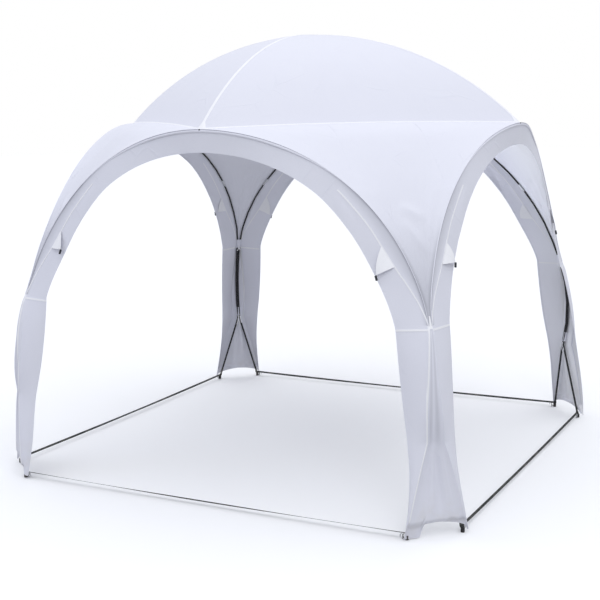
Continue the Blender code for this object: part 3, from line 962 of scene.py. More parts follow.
def weave_group():
    """Plain weave: over and under threads, as a height in metres and a mask of the low ones."""
    tree, given = new_group("Weave", Surface=None, Thread=0.001, Depth=0.00002)
    turns = maths(tree, "DIVIDE", math.pi, given["Thread"])
    x, y, _ = split(tree, given["Surface"])
    warp = maths(tree, "SINE", times(tree, x, turns))
    weft = maths(tree, "SINE", times(tree, y, turns))
    over = times(tree, warp, weft)
    uneven = noise_at(tree, given["Surface"], 900.0)
    height = times(tree, plus(tree, over, uneven), given["Depth"])
    return end_group(tree, Height=height, Low_threads=ranged(tree, over, 0.1, -0.8))


def crease_group():
    """Soft creases left by packing, and long faint pulls along the cloth, as a height and as a mask for
    painted shade.
    """
    tree, given = new_group("Creases", Surface=None, Size=0.22, Depth=0.0008)
    surface = given["Surface"]
    drift = vectors(tree, "MULTIPLY", noise_at(tree, surface, 3.0, output="Color"), (0.12, 0.12, 0.12))
    cell = tree.nodes.new("ShaderNodeTexVoronoi")
    cell.feature = "DISTANCE_TO_EDGE"
    wire(tree, cell.inputs["Vector"], vectors(tree, "ADD", surface, drift))
    wire(tree, cell.inputs["Scale"], maths(tree, "DIVIDE", 1.0, given["Size"]))
    ridge = ranged(tree, cell.outputs["Distance"], 0.0, 0.05, 1.0, 0.0)
    patchy = ranged(tree, noise_at(tree, surface, 2.3), 0.48, 0.66)
    pulls = noise_at(tree, vectors(tree, "MULTIPLY", surface, (9.0, 1.6, 1.0)), 1.0, 3.0)
    both = plus(tree, times(tree, ridge, patchy), pulls)
    return end_group(tree, Height=times(tree, both, given["Depth"]), Shade=times(tree, both, 0.5))


def pucker_group():
    """The small ripples that sewing draws in beside a seam."""
    tree, given = new_group("Seam pucker", Surface=None, From_seam=1.0, Depth=0.0009)
    near = ranged(tree, given["From seam"], 0.0, 0.085, 1.0, 0.0)
    ripple = noise_at(tree, vectors(tree, "MULTIPLY", given["Surface"], (34.0, 34.0, 1.0)), 1.0, 1.0)
    return end_group(tree, Height=times(tree, times(tree, ripple, near), given["Depth"]))


def dust_group():
    """Dust that thins out above the ground."""
    tree, given = new_group("Ground dust", Place=None, Reach=0.30)
    low = ranged(tree, split(tree, given["Place"])[2], 0.0, given["Reach"], 1.0, 0.0)
    spots = ranged(tree, noise_at(tree, given["Place"], 11.0, 5.0, 0.65), 0.40, 0.75)
    return end_group(tree, Mask=times(tree, low, spots))


def wear_group():
    """Rubbed streaks along a pole, and a fine grain in its finish."""
    tree, given = new_group("Rubbed finish", Place=None, Grain=900.0, Depth=0.00004)
    place = given["Place"]
    streak = noise_at(tree, vectors(tree, "MULTIPLY", place, (90.0, 90.0, 7.0)), 1.0, 4.0, 0.6)
    patch = ranged(tree, noise_at(tree, place, 5.0), 0.46, 0.70)
    worn = times(tree, ranged(tree, streak, 0.56, 0.72), patch)
    grain = noise_at(tree, place, given["Grain"], 1.0)
    return end_group(tree, Mask=worn, Height=times(tree, grain, given["Depth"]))


GROUPS = {}
FINISHES = {}


def place_group(tree, make, **values):
    """Place a shared group, built on its first use, with its own values."""
    if make not in GROUPS:
        GROUPS[make] = make()
    node = tree.nodes.new("ShaderNodeGroup")
    node.node_tree = GROUPS[make]
    for label, value in values.items():
        wire(tree, node.inputs[label.replace("_", " ")], value)
    return node.outputs


def coordinates(tree):
    """The cloth's own UVs in metres, and the place on the tent."""
    surface = tree.nodes.new("ShaderNodeUVMap").outputs["UV"]
    return surface, tree.nodes.new("ShaderNodeTexCoord").outputs["Object"]


def end_finish(tree, colour, roughness, height, **constants):
    """Join the colour, roughness and a height in metres to the shader, and set what is constant."""
    shader = tree.nodes["Principled BSDF"]
    wire(tree, shader.inputs["Base Color"], colour)
    wire(tree, shader.inputs["Roughness"], roughness)
    bump = tree.nodes.new("ShaderNodeBump")
    bump.inputs["Strength"].default_value = 1.0
    bump.inputs["Distance"].default_value = 1.0
    wire(tree, bump.inputs["Height"], height)
    wire(tree, shader.inputs["Normal"], bump.outputs["Normal"])
    for label, value in constants.items():
        shader.inputs[label.replace("_", " ")].default_value = value


def cloth_finish(tree, inside):
    """White polyester: fine weave, soft creases, puckered seams and a little dust by the ground,
    with painted shade in its creases, between its threads and by the poles, and painted light inside.
    """
    colours, sizes = bpy.context.scene.tent_colours, bpy.context.scene.tent_sizes
    surface, place = coordinates(tree)
    weave = place_group(tree, weave_group, Surface=surface, Thread=sizes.thread, Depth=0.000012)
    creases = place_group(tree, crease_group, Surface=surface, Size=0.24, Depth=0.0009)
    from_seam = attribute(tree, "seam")
    pucker = place_group(tree, pucker_group, Surface=surface, From_seam=from_seam, Depth=0.0012)
    dust = place_group(tree, dust_group, Place=place, Reach=0.34)
    # Painted shade: the colour darkens between the threads and along the creases
    shade = plus(tree, times(tree, weave["Low threads"], 0.35), times(tree, creases["Shade"], 0.30))
    if inside:
        # Painted light: the inner face is given a lighter colour, lighter still towards the right and the
        # front, for light coming through the cloth
        x, y, _ = split(tree, place)
        lit = ranged(tree, maths(tree, "SUBTRACT", x, times(tree, y, 0.6)), 0.1, 0.8)
        plain = blended(tree, lit, colours.lining, colours.lining_lit)
        colour = laid_over(tree, plain, colours.cloth_shade, shade, 0.5)
    else:
        colour = blended(tree, shade, colours.cloth, colours.cloth_shade)
        # Darker where a pole shows through the cloth, and by painted shade, as the sheet's attribute gives
        colour = blended(tree, attribute(tree, "backed"), colour, colours.backed)
    colour = laid_over(tree, colour, colours.dust, dust["Mask"], 0.28)
    height = plus(tree, weave["Height"], plus(tree, creases["Height"], pucker["Height"]))
    roughness = plus(tree, 0.62, times(tree, shade, 0.2))
    end_finish(
        tree, colour, roughness, height, Sheen_Weight=0.15, Sheen_Roughness=0.5, Specular_IOR_Level=0.3,
    )


def tape_finish(tree):
    """Bright seam tape with a row of stitches near each edge."""
    colours, sizes = bpy.context.scene.tent_colours, bpy.context.scene.tent_sizes
    from_edge, stitch_half, stitch_step = 0.0022, 0.0007, 0.0032
    surface, place = coordinates(tree)
    weave = place_group(tree, weave_group, Surface=surface, Thread=0.0013, Depth=0.00004)
    dust = place_group(tree, dust_group, Place=place, Reach=0.25)
    x, y, _ = split(tree, surface)
    row = maths(tree, "SUBTRACT", maths(tree, "ABSOLUTE", x), sizes.leg_tape / 2 - from_edge)
    near_row = ranged(tree, maths(tree, "ABSOLUTE", row), 0.0, stitch_half, 1.0, 0.0)
    dash = ranged(tree, maths(tree, "SINE", times(tree, y, math.tau / stitch_step)), -0.5, 0.1)
    stitch = times(tree, near_row, dash)
    # Painted shade between the threads
    colour = laid_over(tree, colours.tape, colours.cloth_shade, weave["Low threads"], 0.12)
    colour = laid_over(tree, colour, colours.thread, stitch, 0.8)
    colour = laid_over(tree, colour, colours.dust, dust["Mask"], 0.3)
    height = plus(tree, weave["Height"], times(tree, stitch, -0.0002))
    end_finish(tree, colour, 0.7, height, Specular_IOR_Level=0.3)


def webbing_finish(tree):
    """Flat black webbing with ribs across and a little dust."""
    colours = bpy.context.scene.tent_colours
    surface, place = coordinates(tree)
    weave = place_group(tree, weave_group, Surface=surface, Thread=0.0016, Depth=0.00016)
    dust = place_group(tree, dust_group, Place=place, Reach=0.08)
    colour = laid_over(tree, colours.webbing, colours.scuff, weave["Low threads"], 0.5)
    colour = laid_over(tree, colour, colours.dust, dust["Mask"], 0.25)
    end_finish(tree, colour, 0.82, weave["Height"])


def pole_finish(tree, base, roughness, metallic, grain, depth):
    """A black rod, tube or fitting, rubbed here and there by packing."""
    colours = bpy.context.scene.tent_colours
    _, place = coordinates(tree)
    wear = place_group(tree, wear_group, Place=place, Grain=grain, Depth=depth)
    dust = place_group(tree, dust_group, Place=place, Reach=0.20)
    colour = laid_over(tree, getattr(colours, base), colours.scuff, wear["Mask"], 0.7)
    colour = laid_over(tree, colour, colours.dust, dust["Mask"], 0.35)
    rough = plus(tree, roughness, times(tree, wear["Mask"], 0.25))
    end_finish(tree, colour, rough, wear["Height"], Metallic=metallic)


def steel_finish(tree):
    """Zinc-plated steel with fine turning lines."""
    bright = bpy.context.scene.tent_colours.steel
    dull = (*(part * 0.55 for part in bright[:3]), 1.0)
    _, place = coordinates(tree)
    wear = place_group(tree, wear_group, Place=place, Grain=1400.0, Depth=0.00003)
    rough = plus(tree, 0.38, times(tree, wear["Mask"], 0.3))
    end_finish(tree, blended(tree, wear["Mask"], bright, dull), rough, wear["Height"], Metallic=0.9)


# Each finish: its material's name, what makes it, and what that is given. For a pole finish, that is
# its colour, roughness, metallic share, grain and the grain's depth in metres.
FINISH_MAKERS = {
    "cloth": ("Canopy cloth", cloth_finish, False),
    "lining": ("Canopy cloth inside", cloth_finish, True),
    "tape": ("Seam tape", tape_finish),
    "webbing": ("Black webbing", webbing_finish),
    "steel": ("Plated steel", steel_finish),
    "rod": ("Fibreglass rod", pole_finish, "rod", 0.36, 0.0, 1500.0, 0.00002),
    "tube": ("Powder coated tube", pole_finish, "tube", 0.42, 0.25, 1100.0, 0.00008),
    "toggle": ("Moulded toggle", pole_finish, "toggle", 0.38, 0.0, 1300.0, 0.00005),
}


def finish(name):
    """A finish by name, made once."""
    if name not in FINISHES:
        label, make, *given = FINISH_MAKERS[name]
        material = bpy.data.materials.new(label)
        material.use_nodes = True
        make(material.node_tree, *given)
        FINISHES[name] = material
    return FINISHES[name]


# The tent's pieces

class TENT_OT_roof(bpy.types.Operator):
    """Lay the four roof gores with the tapes on their ridges and the patch at the apex"""

    bl_idname = "tent.roof"
    bl_label = "Roof"

    def execute(self, context):
        sizes = context.scene.tent_sizes

        def ridge(down, across):
            down = RIDGE_START + (1.0 - RIDGE_START) * (1.0 - (1.0 - down) ** 1.6)
            flare = max(down - 1.0 + CROWN_FLARE, 0.0) / CROWN_FLARE
            offset = (across - 0.5) * (sizes.ridge_tape + (sizes.crown_patch - sizes.ridge_tape) * flare)
            width = ROOF_RADIUS * math.sin(ROOF_END * down) * math.sqrt(2.0)
            point = gore(down, min(abs(offset) / width, 0.5))
            return on_half(point, offset)

        def patch(down, across):
            x, y = (across - 0.5) * APEX_PATCH, (down - 0.5) * APEX_PATCH
            angle = (abs(x) + abs(y)) / ROOF_RADIUS
            return Vector((x, y, ROOF_CENTRE + ROOF_RADIUS * math.cos(angle) + PATCH_LIFT))

        def fade(down, across):
            return ease(bow_share(across) * 1.4) * ease((1.0 - down) * 5.0) * ease(down * 4.0)

        tapes = []
        for quarter, side in enumerate(SIDES):
            grid = (64, 4, ridge, sizes.ridge_tape, 1.5)
            tapes.append([add_trim(f"ridge_tape_{side}", "tape", quarter, sizes.seam, grid)])
        grid = (12, 12, patch, APEX_PATCH, APEX_PATCH)
        tapes[0].append(add_trim("apex_patch", "tape", 0, APEX_TAPE, grid))
        for quarter, name in enumerate(CORNERS):
            add_sheet(
                f"roof_{name}", f"roof_gore_{name}", quarter, ROOF_GORE, gore,
                wrinkled(quarter + 1, fade), None,
                with_pieces=tapes[quarter],
            )
        return {"FINISHED"}


class TENT_OT_corners(bpy.types.Operator):
    """Lay the four corner panels with the seams at their tops and the joins down them"""

    bl_idname = "tent.corners"
    bl_label = "Corner panels"

    def execute(self, context):
        sizes = context.scene.tent_sizes
        up_and_out = OUTWARD + Vector((0.0, 0.0, 1.0))
        top, foot = corner(*JOIN_TOP), corner(*JOIN_FOOT)
        sideways = up_and_out.cross(foot - top).normalized()

        def chord(down, across):
            offset = (across - 0.5) * sizes.chord_tape
            if offset < 0:
                return gore(1.0 + offset / GORE_LENGTH, down)
            return corner(offset / (ARCH_RADIUS * HUB_ANGLE) / PANEL_MIDDLE, down)

        def near_join(point):
            return fold_share(point, top, foot, up_and_out, JOIN_DIP_REACH)

        def join(down, across):
            offset, low, high = (across - 0.5) * JOIN_WIDTH, 0.0, 0.5
            place = JOIN_TOP[0] + (JOIN_FOOT[0] - JOIN_TOP[0]) * down
            for _ in range(20):
                middle = (low + high) / 2
                if (corner(place, middle) - top).dot(sideways) < offset:
                    low = middle
                else:
                    high = middle
            point = corner(place, low)
            return point + up_and_out.normalized() * (TAPE_LIFT - JOIN_DIP * near_join(point))

        def fade(down, across):
            return ease(bow_share(across) * 1.5) * ease(down * 6.0) * ease((1.0 - down) * 6.0)

        # Painted shade: a shadow beside the rods low on the panel, and darker still down towards the hub
        def pole_and_shade_share(down, across):
            start = arch_seam(HUB_ANGLE * down)
            beside = min(across, 1.0 - across) * (across_corner(start) - start).length
            shadow_by_rods = 0.34 * ease((down - 0.62) / 0.2) * (1.0 - ease(beside / PANEL_SHADE))
            return shadow_by_rods + 0.40 * ease((down - 0.60) / 0.34)

        def relief(point, down, across, quarter, soft, folds):
            pulls = cloud(Vector((across * 16.0, down * 3.5, 0.0)), 1.0, quarter + 5)
            low = ease((down - 0.40) / 0.3) * ease((1.0 - down) * 7.0) * ease(bow_share(across) * 2.0)
            dip = max(near_join(point), near_join(across_corner(point)))
            lift = sum(fold_share(point, start, end, OUTWARD, PANEL_FOLD_REACH) for start, end in folds)
            pulled = soft(point, down, across) * (1.0 - dip) + PANEL_PULL * low * pulls
            return pulled - JOIN_DIP * dip + PANEL_FOLD * lift

        for quarter, name in enumerate(CORNERS):
            grid = (64, 4, chord, sizes.chord_tape, 1.97)
            tape = add_trim(f"chord_tape_{name}", "tape", quarter, sizes.seam, grid)
            laps = add_trim(
                f"corner_joins_{name}", "cloth", quarter, THIN_TAPE,
                *((40, 1, lap, JOIN_WIDTH, 0.9) for lap in (join, crossed(join))),
            )
            folds = [(corner(*start), corner(*end)) for start, end in PANEL_FOLDS[quarter]]
            soft = wrinkled(quarter + 11, fade)
            add_sheet(
                f"corner_{name}", f"corner_panel_{name}", quarter, CORNER_PANEL, corner,
                partial(relief, quarter=quarter, soft=soft, folds=folds), pole_and_shade_share,
                with_pieces=[tape, laps],
            )
        return {"FINISHED"}


class TENT_OT_valances(bpy.types.Operator):
    """Hang the four valances with their edge strips, inner seams, joins and hems"""

    bl_idname = "tent.valances"
    bl_label = "Valances"

    def execute(self, context):
        sizes = context.scene.tent_sizes

        def hem(down, across):
            angle = band_angle(down)
            return band_spot(angle, band_width(angle) - sizes.hem * (1.0 - across))

        def roll(down, across):
            angle = ROLL_END * (2.0 * down - 1.0)
            turn = math.pi * across
            left = 1.0 - ease((abs(angle) / ROLL_END - 0.4) / 0.6)
            inward = (ROLL_START + sizes.roll * (1.0 - math.cos(turn)) / 2.0) * (0.15 + 0.85 * left)
            lift = ROLL_LIFT + sizes.roll * 0.5 * math.sin(turn) * left
            return band_spot(angle, inward) + FORWARD * lift

        def lip(down, across):
            angle = band_angle(down)
            seam = arch_seam(angle)
            turned = (seam - arch_point(angle)).normalized()
            return seam + turned * TAPE_LIFT * (1.0 - across) + FORWARD * sizes.lip * (across - LIP_BACK)

        def gusset(down, across):
            angle = GUSSET_START + (HUB_ANGLE - GUSSET_START) * down
            return gusset_seam(angle, (across - 0.5) * sizes.gusset) + FORWARD * SEAM_LIFT

        def join(down, across):
            angle = JOINT_SEAM_ANGLE + (across - 0.5) * JOIN_WIDTH / ARCH_RADIUS
            return band_at(angle, JOINT_SEAM_TOP + (1.0 - JOINT_SEAM_TOP) * down) + FORWARD * SEAM_LIFT

        def cloth(down, across):
            return band_at(band_angle(across), down ** BAND_ROWS)

        def fade(down, across):
            angle = abs(band_angle(across))
            beside = abs(down ** BAND_ROWS * band_width(angle) - gusset_depth(angle))
            clear = 1.0 if angle < GUSSET_START else ease(beside / BAND_CALM)
            return ease(bow_share(down)) * ease(bow_share(across) * 4.0) * clear

        folds = [
            [band_spot(math.radians(degrees), depth) for degrees, depth in fold] for fold in BAND_FOLDS
        ]

        # A dark line under the arch, for the rod showing through the cloth and painted shadow under the lip
        # and pocket; and painted shade towards the hub between the arch and the inner seam
        def pole_and_shade_share(down, across):
            angle = abs(band_angle(across))
            depth = down ** BAND_ROWS * band_width(angle)
            low = ease((angle - math.radians(26.0)) / math.radians(20.0))
            line = 0.52 * (1.0 - ease(depth / BAND_SHADE))
            return line + 0.34 * low * (1.0 - ease(depth / max(gusset_depth(angle), BAND_SHADE_LOW)))

        def relief(point, down, across, quarter, soft):
            near = Vector((abs(point.x), point.y, point.z))
            strength = BAND_FOLD * (1.0 + 0.5 * cloud(Vector((across * 2.0, 0.0, 0.0)), 1.0, quarter + 2))
            lift = sum(fold_share(near, start, end, FORWARD, BAND_FOLD_REACH) for start, end in folds)
            return soft(point, down, across) + strength * lift

        for quarter, side in enumerate(SIDES):
            trim = add_trim(
                f"valance_seams_{side}", "tape", quarter, sizes.seam,
                *((40, 2, seam, sizes.gusset, 0.9) for seam in (gusset, mirrored(gusset))),
            )
            edge = add_trim(
                f"valance_edges_{side}", "cloth", quarter, EDGE_TAPE,
                *((12, 2, seam, JOIN_WIDTH, 0.12) for seam in (join, mirrored(join))),
                (128, 2, hem, sizes.hem, ARCH_LENGTH),
                (96, 6, roll, sizes.roll, ARCH_LENGTH),
                (128, 2, lip, sizes.lip, ARCH_LENGTH),
            )
            add_sheet(
                f"band_{side}", f"valance_{side}", quarter, VALANCE, cloth,
                partial(relief, quarter=quarter, soft=wrinkled(quarter + 21, fade)), pole_and_shade_share,
                with_pieces=[trim, edge],
            )
        return {"FINISHED"}


class TENT_OT_legs(bpy.types.Operator):
    """Hang the leg cloths with their seams, cross tapes and hems"""

    bl_idname = "tent.legs"
    bl_label = "Leg cloths"

    def execute(self, context):
        sizes = context.scene.tent_sizes
        drop = HUB_HEIGHT - WING_HEM
        highlight_narrows = (HUB_HEIGHT - TIE_HEIGHT) / drop

        def width_of(surface, down, *place):
            return (surface(down, 1.0, *place) - surface(down, 0.0, *place)).length

        def edge_hem(down, across, quarter, second):
            share = sizes.hem * across / width_of(wing, down, quarter, second)
            return wing(down, min(share, 1.0), quarter, second)

        def foot_hem(down, across, quarter, second):
            return wing(1.0 - sizes.hem * across / drop, down, quarter, second)

        def cross_tape(down, across, quarter, second):
            height = WING_SEAM_HEIGHT - (0.0 if second else WING_SEAM_DROP * (1.0 - down))
            place = (HUB_HEIGHT - height + (across - 0.5) * sizes.leg_tape) / drop
            return wing(place, down, quarter, second) + FORWARD * TAPE_LIFT

        def seam(down, across, quarter, second):
            """Over the seam at a pole, from its wing on to the web."""
            offset = (across - 0.5) * sizes.leg_tape
            if offset < 0:
                share = max(1.0 + offset / width_of(wing, down, quarter, second), 0.0)
                return on_pole(wing(down, share, quarter, second), second)
            share = min(offset / width_of(web, down, quarter), 0.3)
            return web(down, 1.0 - share if second else share, quarter)

        # Painted highlight: a bright strip in the tape finish over one seam at each corner, for the light
        # caught by the ridge over the pole; it narrows below the tie
        def highlight_seam(down, across, quarter, second):
            narrow = 1.0 - 0.35 * ease((down - highlight_narrows) / 0.15)
            return seam(down, 0.5 + (across - 0.5) * narrow, quarter, second)

        def plain_seam(down, across, quarter, second):
            return seam(down, 0.2 + 0.6 * across, quarter, second)

        def web_foot(down, across, quarter):
            return web(1.0 - sizes.hem * across / drop, down, quarter)

        def hub_patch(down, across):
            if down < 0.5:
                start = arch_seam(HUB_ANGLE - HUB_PATCH_ANGLE * (1.0 - 2.0 * down))
            else:
                start = leg_seam(HUB_HEIGHT - HUB_PATCH_DROP * (2.0 * down - 1.0))
            narrow = 0.5 + (across - 0.5) * (0.3 + 0.7 * down)
            return start.lerp(across_corner(start), narrow) + OUTWARD * PATCH_LIFT

        def both(rows, columns, shape, width, quarter):
            """Grids for the same strip on a corner's two wings."""
            first = partial(shape, quarter=quarter, second=False)
            second = crossed(partial(shape, quarter=quarter, second=True))
            return [(rows, columns, surface, width, LEG_LENGTH) for surface in (first, second)]

        def fade(down, across):
            inside = ease(bow_share(min(leg_side(across) / WING_SHARE, 1.0)) * 1.2)
            return 0.7 * inside * ease(down * 6.0)

        # A darker band on the web: poles showing through, and painted shade of a fold beside the seam
        def pole_and_shade_share(down, across):
            side = leg_side(across)
            if side <= WING_SHARE:
                return 0.0
            high = ease((leg_height(down, WING_HEM) - WEB_SHADE) / WEB_SHADE_RUN)
            return 0.30 * high * (1.0 - ease(abs(web_share(side) - 0.30) / 0.22))

        for quarter, name in enumerate(CORNERS):
            highlight_second = quarter % 2 == 1   # the front's and the back's leg seams get the bright strip of painted highlight, the others a plain one
            bright = partial(highlight_seam, quarter=quarter, second=highlight_second)
            plain = partial(plain_seam, quarter=quarter, second=not highlight_second)
            trim = add_trim(
                f"leg_seams_{name}", "tape", quarter, sizes.seam,
                *both(10, 2, cross_tape, sizes.leg_tape, quarter),
                (60, 4, bright, sizes.leg_tape, LEG_LENGTH),
                (8, 3, hub_patch, 0.03, 0.06),
            )
            hems = add_trim(
                f"leg_hems_{name}", "cloth", quarter, HEM_FOLD,
                *both(40, 2, edge_hem, sizes.hem, quarter),
                *both(8, 2, foot_hem, sizes.hem, quarter),
                (60, 4, plain, sizes.leg_tape, LEG_LENGTH),
                (40, 2, partial(web_foot, quarter=quarter), sizes.hem, 0.35),
            )
            add_sheet(
                f"leg_cloth_{name}", f"leg_panel_{name}", quarter, LEG_CLOTH,
                partial(leg_cloth, quarter=quarter), wrinkled(quarter + 31, fade), pole_and_shade_share,
                with_pieces=[trim, hems],
            )
        return {"FINISHED"}


class TENT_OT_tabs(bpy.types.Operator):
    """Sew the eight corner tabs to the valances and hang a toggle on each"""

    bl_idname = "tent.tabs"
    bl_label = "Tabs and toggles"

    def execute(self, context):
        sizes = context.scene.tent_sizes
        top, foot = gusset_seam(TAB_TOP), gusset_seam(TAB_FOOT)
        bases = {sign: gusset_seam(*tip) for sign, tip in TAB_TIPS.items()}

        def tab(down, across, sign):
            start = top.lerp(foot, across) + FORWARD * TAB_LIFT
            point = start.lerp(bases[sign] + TAB_STAND, down)
            point += Vector((-TAB_CURVE * (1.0 - across), -TAB_FULLNESS, 0.0)) * bow_share(down)
            return on_half(point, sign)

        def lining(down, across, sign):
            point = top.lerp(foot, across).lerp(bases[sign], 0.97 * down)
            point += Vector((-LINING_CURVE * (1.0 - across) * bow_share(down), LINING_BACK, 0.0))
            return on_half(point, sign)

        def pair(rows, shape, length):
            return [(rows, 8, partial(shape, sign=sign), TAB_WIDTH, length) for sign in bases]

        for quarter, side in enumerate(SIDES):
            grids = pair(12, tab, 0.10)
            tabs = add_trim(f"tabs_{side}", "tape", quarter, EDGE_TAPE, *grids, merge=MERGE)
            grids = pair(10, lining, 0.08)
            add_trim(f"tab_linings_{side}", "tape", quarter, THIN_TAPE, *grids, merge=MERGE)
            bm = bmesh.new()
            for sign, base in bases.items():
                high = base + TAB_STAND + TOGGLE_HANG
                low = high + TOGGLE_LEAN - Vector((0.0, 0.0, sizes.toggle))
                add_barrel(bm, on_half(low, sign), on_half(high, sign), TOGGLE_RADIUS, TOGGLE_RIM)
            finish_piece(f"toggles_{side}", bm, "toggle", quarter, slot="black_rod")
        return {"FINISHED"}


class TENT_OT_poles(bpy.types.Operator):
    """Finish the rods and legs, and fit the ferrules and crown fittings"""

    bl_idname = "tent.poles"
    bl_label = "Poles"

    def execute(self, context):
        for name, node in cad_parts.items():
            kind = "rod" if "rod" in name else "tube" if name.endswith("_leg") else None
            if kind:
                for slot in node.material_slots:
                    slot.material = finish(kind)
        half = context.scene.tent_sizes.ferrule / 2 / ARCH_RADIUS
        crown = arch_seam(0.0)
        for quarter, side in enumerate(SIDES):
            bm = bmesh.new()
            for sign in (-1, 1):
                line = [arch_point(sign * (JOINT_ANGLE + half * t)) for t in (-1.0, -0.5, 0.0, 0.5, 1.0)]
                add_tube(bm, line, ROD_RADIUS + FERRULE_WALL, 16)
            bmesh.ops.recalc_face_normals(bm, faces=bm.faces)
            finish_piece(f"ferrules_{side}", bm, "steel", quarter, slot="black_rod")
            bm = bmesh.new()
            line = [arch_point(CROWN_SLEEVE_ANGLE * t) for t in (-1.0, 0.0, 1.0)]
            add_tube(bm, line, ROD_RADIUS + CROWN_SLEEVE_WALL, 16)
            add_barrel(bm, crown + KNOB_BACK, crown + KNOB_FRONT, KNOB_RADIUS, KNOB_RIM)
            finish_piece(f"crown_fitting_{side}", bm, "toggle", quarter, slot="black_rod")
        return {"FINISHED"}


class TENT_OT_ties(bpy.types.Operator):
    """Bind the poles together at the hubs and at the ties above the feet"""

    bl_idname = "tent.ties"
    bl_label = "Ties"

    def execute(self, context):
        sizes = context.scene.tent_sizes
        radius = LEG_RADIUS + SLEEVE_ROOM

        def sleeve(down, across, low, high):
            """Round both poles of a corner together."""
            first = pole_at(high + (low - high) * down)
            angle = math.tau * across
            pole = on_pole(first, math.cos(angle) > 0.0)
            return pole + APART * radius * math.cos(angle) + OUTWARD * radius * math.sin(angle)

        def tail(down, across, height, second, lean, length):
            """A tape end that hangs from the inner side of a pole."""
            point = on_pole(pole_at(height), second) - OUTWARD * (LEG_RADIUS + TIE_ROOM)
            point += APART * (lean * down + (across - 0.5) * TIE_WIDTH)
            point -= OUTWARD * TIE_CURL * math.sin(math.pi * min(down * 1.3, 1.0))
            return point - Vector((0.0, 0.0, length * down))

        sleeves = [
            (8, 40, partial(sleeve, low=low, high=high), 0.08, high - low)
            for low, high in (HUB_SLEEVE, (FOOT_SLEEVE_START, FOOT_TIE + sizes.tie))
        ]
        tails = [
            (10, 2, partial(tail, height=height, second=second, lean=lean, length=length), TIE_WIDTH, length)
            for height, second, lean, length in TIE_TAILS
        ]
        for quarter, name in enumerate(CORNERS):
            add_trim(f"pole_sleeves_{name}", "cloth", quarter, THIN_TAPE, *sleeves, merge=MERGE)
            add_trim(f"ties_{name}", "tape", quarter, TIE_TAPE, *tails)
        return {"FINISHED"}


class TENT_OT_straps(bpy.types.Operator):
    """Stretch the ground straps between the feet, with their end loops and pegs"""

    bl_idname = "tent.straps"
    bl_label = "Ground straps and pegs"

    def execute(self, context):
        sizes = context.scene.tent_sizes
        foot = leg_point(STRAP_HEIGHT)
        ground = leg_point(LOW_ON_LEG)
        reach = foot.x - LEG_RADIUS - STRAP_CLEAR

        def strap(down, across, lean):
            along = 2.0 * down - 1.0
            height = STRAP_HEIGHT - STRAP_SAG * (1.0 - along ** 2)
            tilt = lean + STRAP_TWIST * math.sin(math.tau * 1.5 * down)
            offset = (across - 0.5) * sizes.strap
            return Vector((
                reach * along, foot.y + offset * math.cos(tilt), height - offset * math.sin(tilt),
            ))

        def end_loop(down, across):
            top = Vector((foot.x, foot.y, STRAP_HEIGHT))
            low = Vector((ground.x, ground.y, LOOP_FOOT))
            angle = math.tau * down
            point = top.lerp(low, 0.5 - 0.5 * math.cos(angle))
            sideways = LOOP_HALF * math.sin(angle) - LOOP_IN
            return point + Vector((sideways, (across - 0.5) * LOOP_WEBBING, 0.0))

        def collar(down, across):
            angle = math.tau * down
            centre = leg_point(STRAP_HEIGHT + (across - 0.5) * sizes.strap)
            return centre + Vector((math.cos(angle), math.sin(angle), 0.0)) * (LEG_RADIUS + COLLAR_ROOM)

        ends = [
            (24, 2, shape, 0.016, 0.12)
            for shape in (collar, mirrored(collar), end_loop, mirrored(end_loop))
        ]
        for quarter, side in enumerate(SIDES):
            lying = (80, 2, partial(strap, lean=STRAP_TILTS[side]), sizes.strap, 2.5)
            piece = add_trim(
                f"strap_{side}", "webbing", quarter, WEBBING, lying, *ends, slot="black_webbing",
            )
            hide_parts(f"ground_strap_{side}")
            bm = bmesh.new()
            for sign in (-1, 1):
                bend = [(math.cos(math.pi * t / 8), math.sin(math.pi * t / 8)) for t in range(9)]
                hook = [(PEG_BEND * along, PEG_TOP + PEG_BEND * up) for along, up in bend]
                hook = [(PEG_BEND, PEG_LONG_END), *hook, (-PEG_BEND, PEG_SHORT_END)]
                middle = ground.x - PEG_IN
                line = [Vector((sign * (middle + along), ground.y, height)) for along, height in hook]
                add_tube(bm, line, PEG_RADIUS, 10)
            bmesh.ops.recalc_face_normals(bm, faces=bm.faces)
            finish_piece(f"pegs_{side}", bm, "steel", quarter, slot="black_tube")
        return {"FINISHED"}


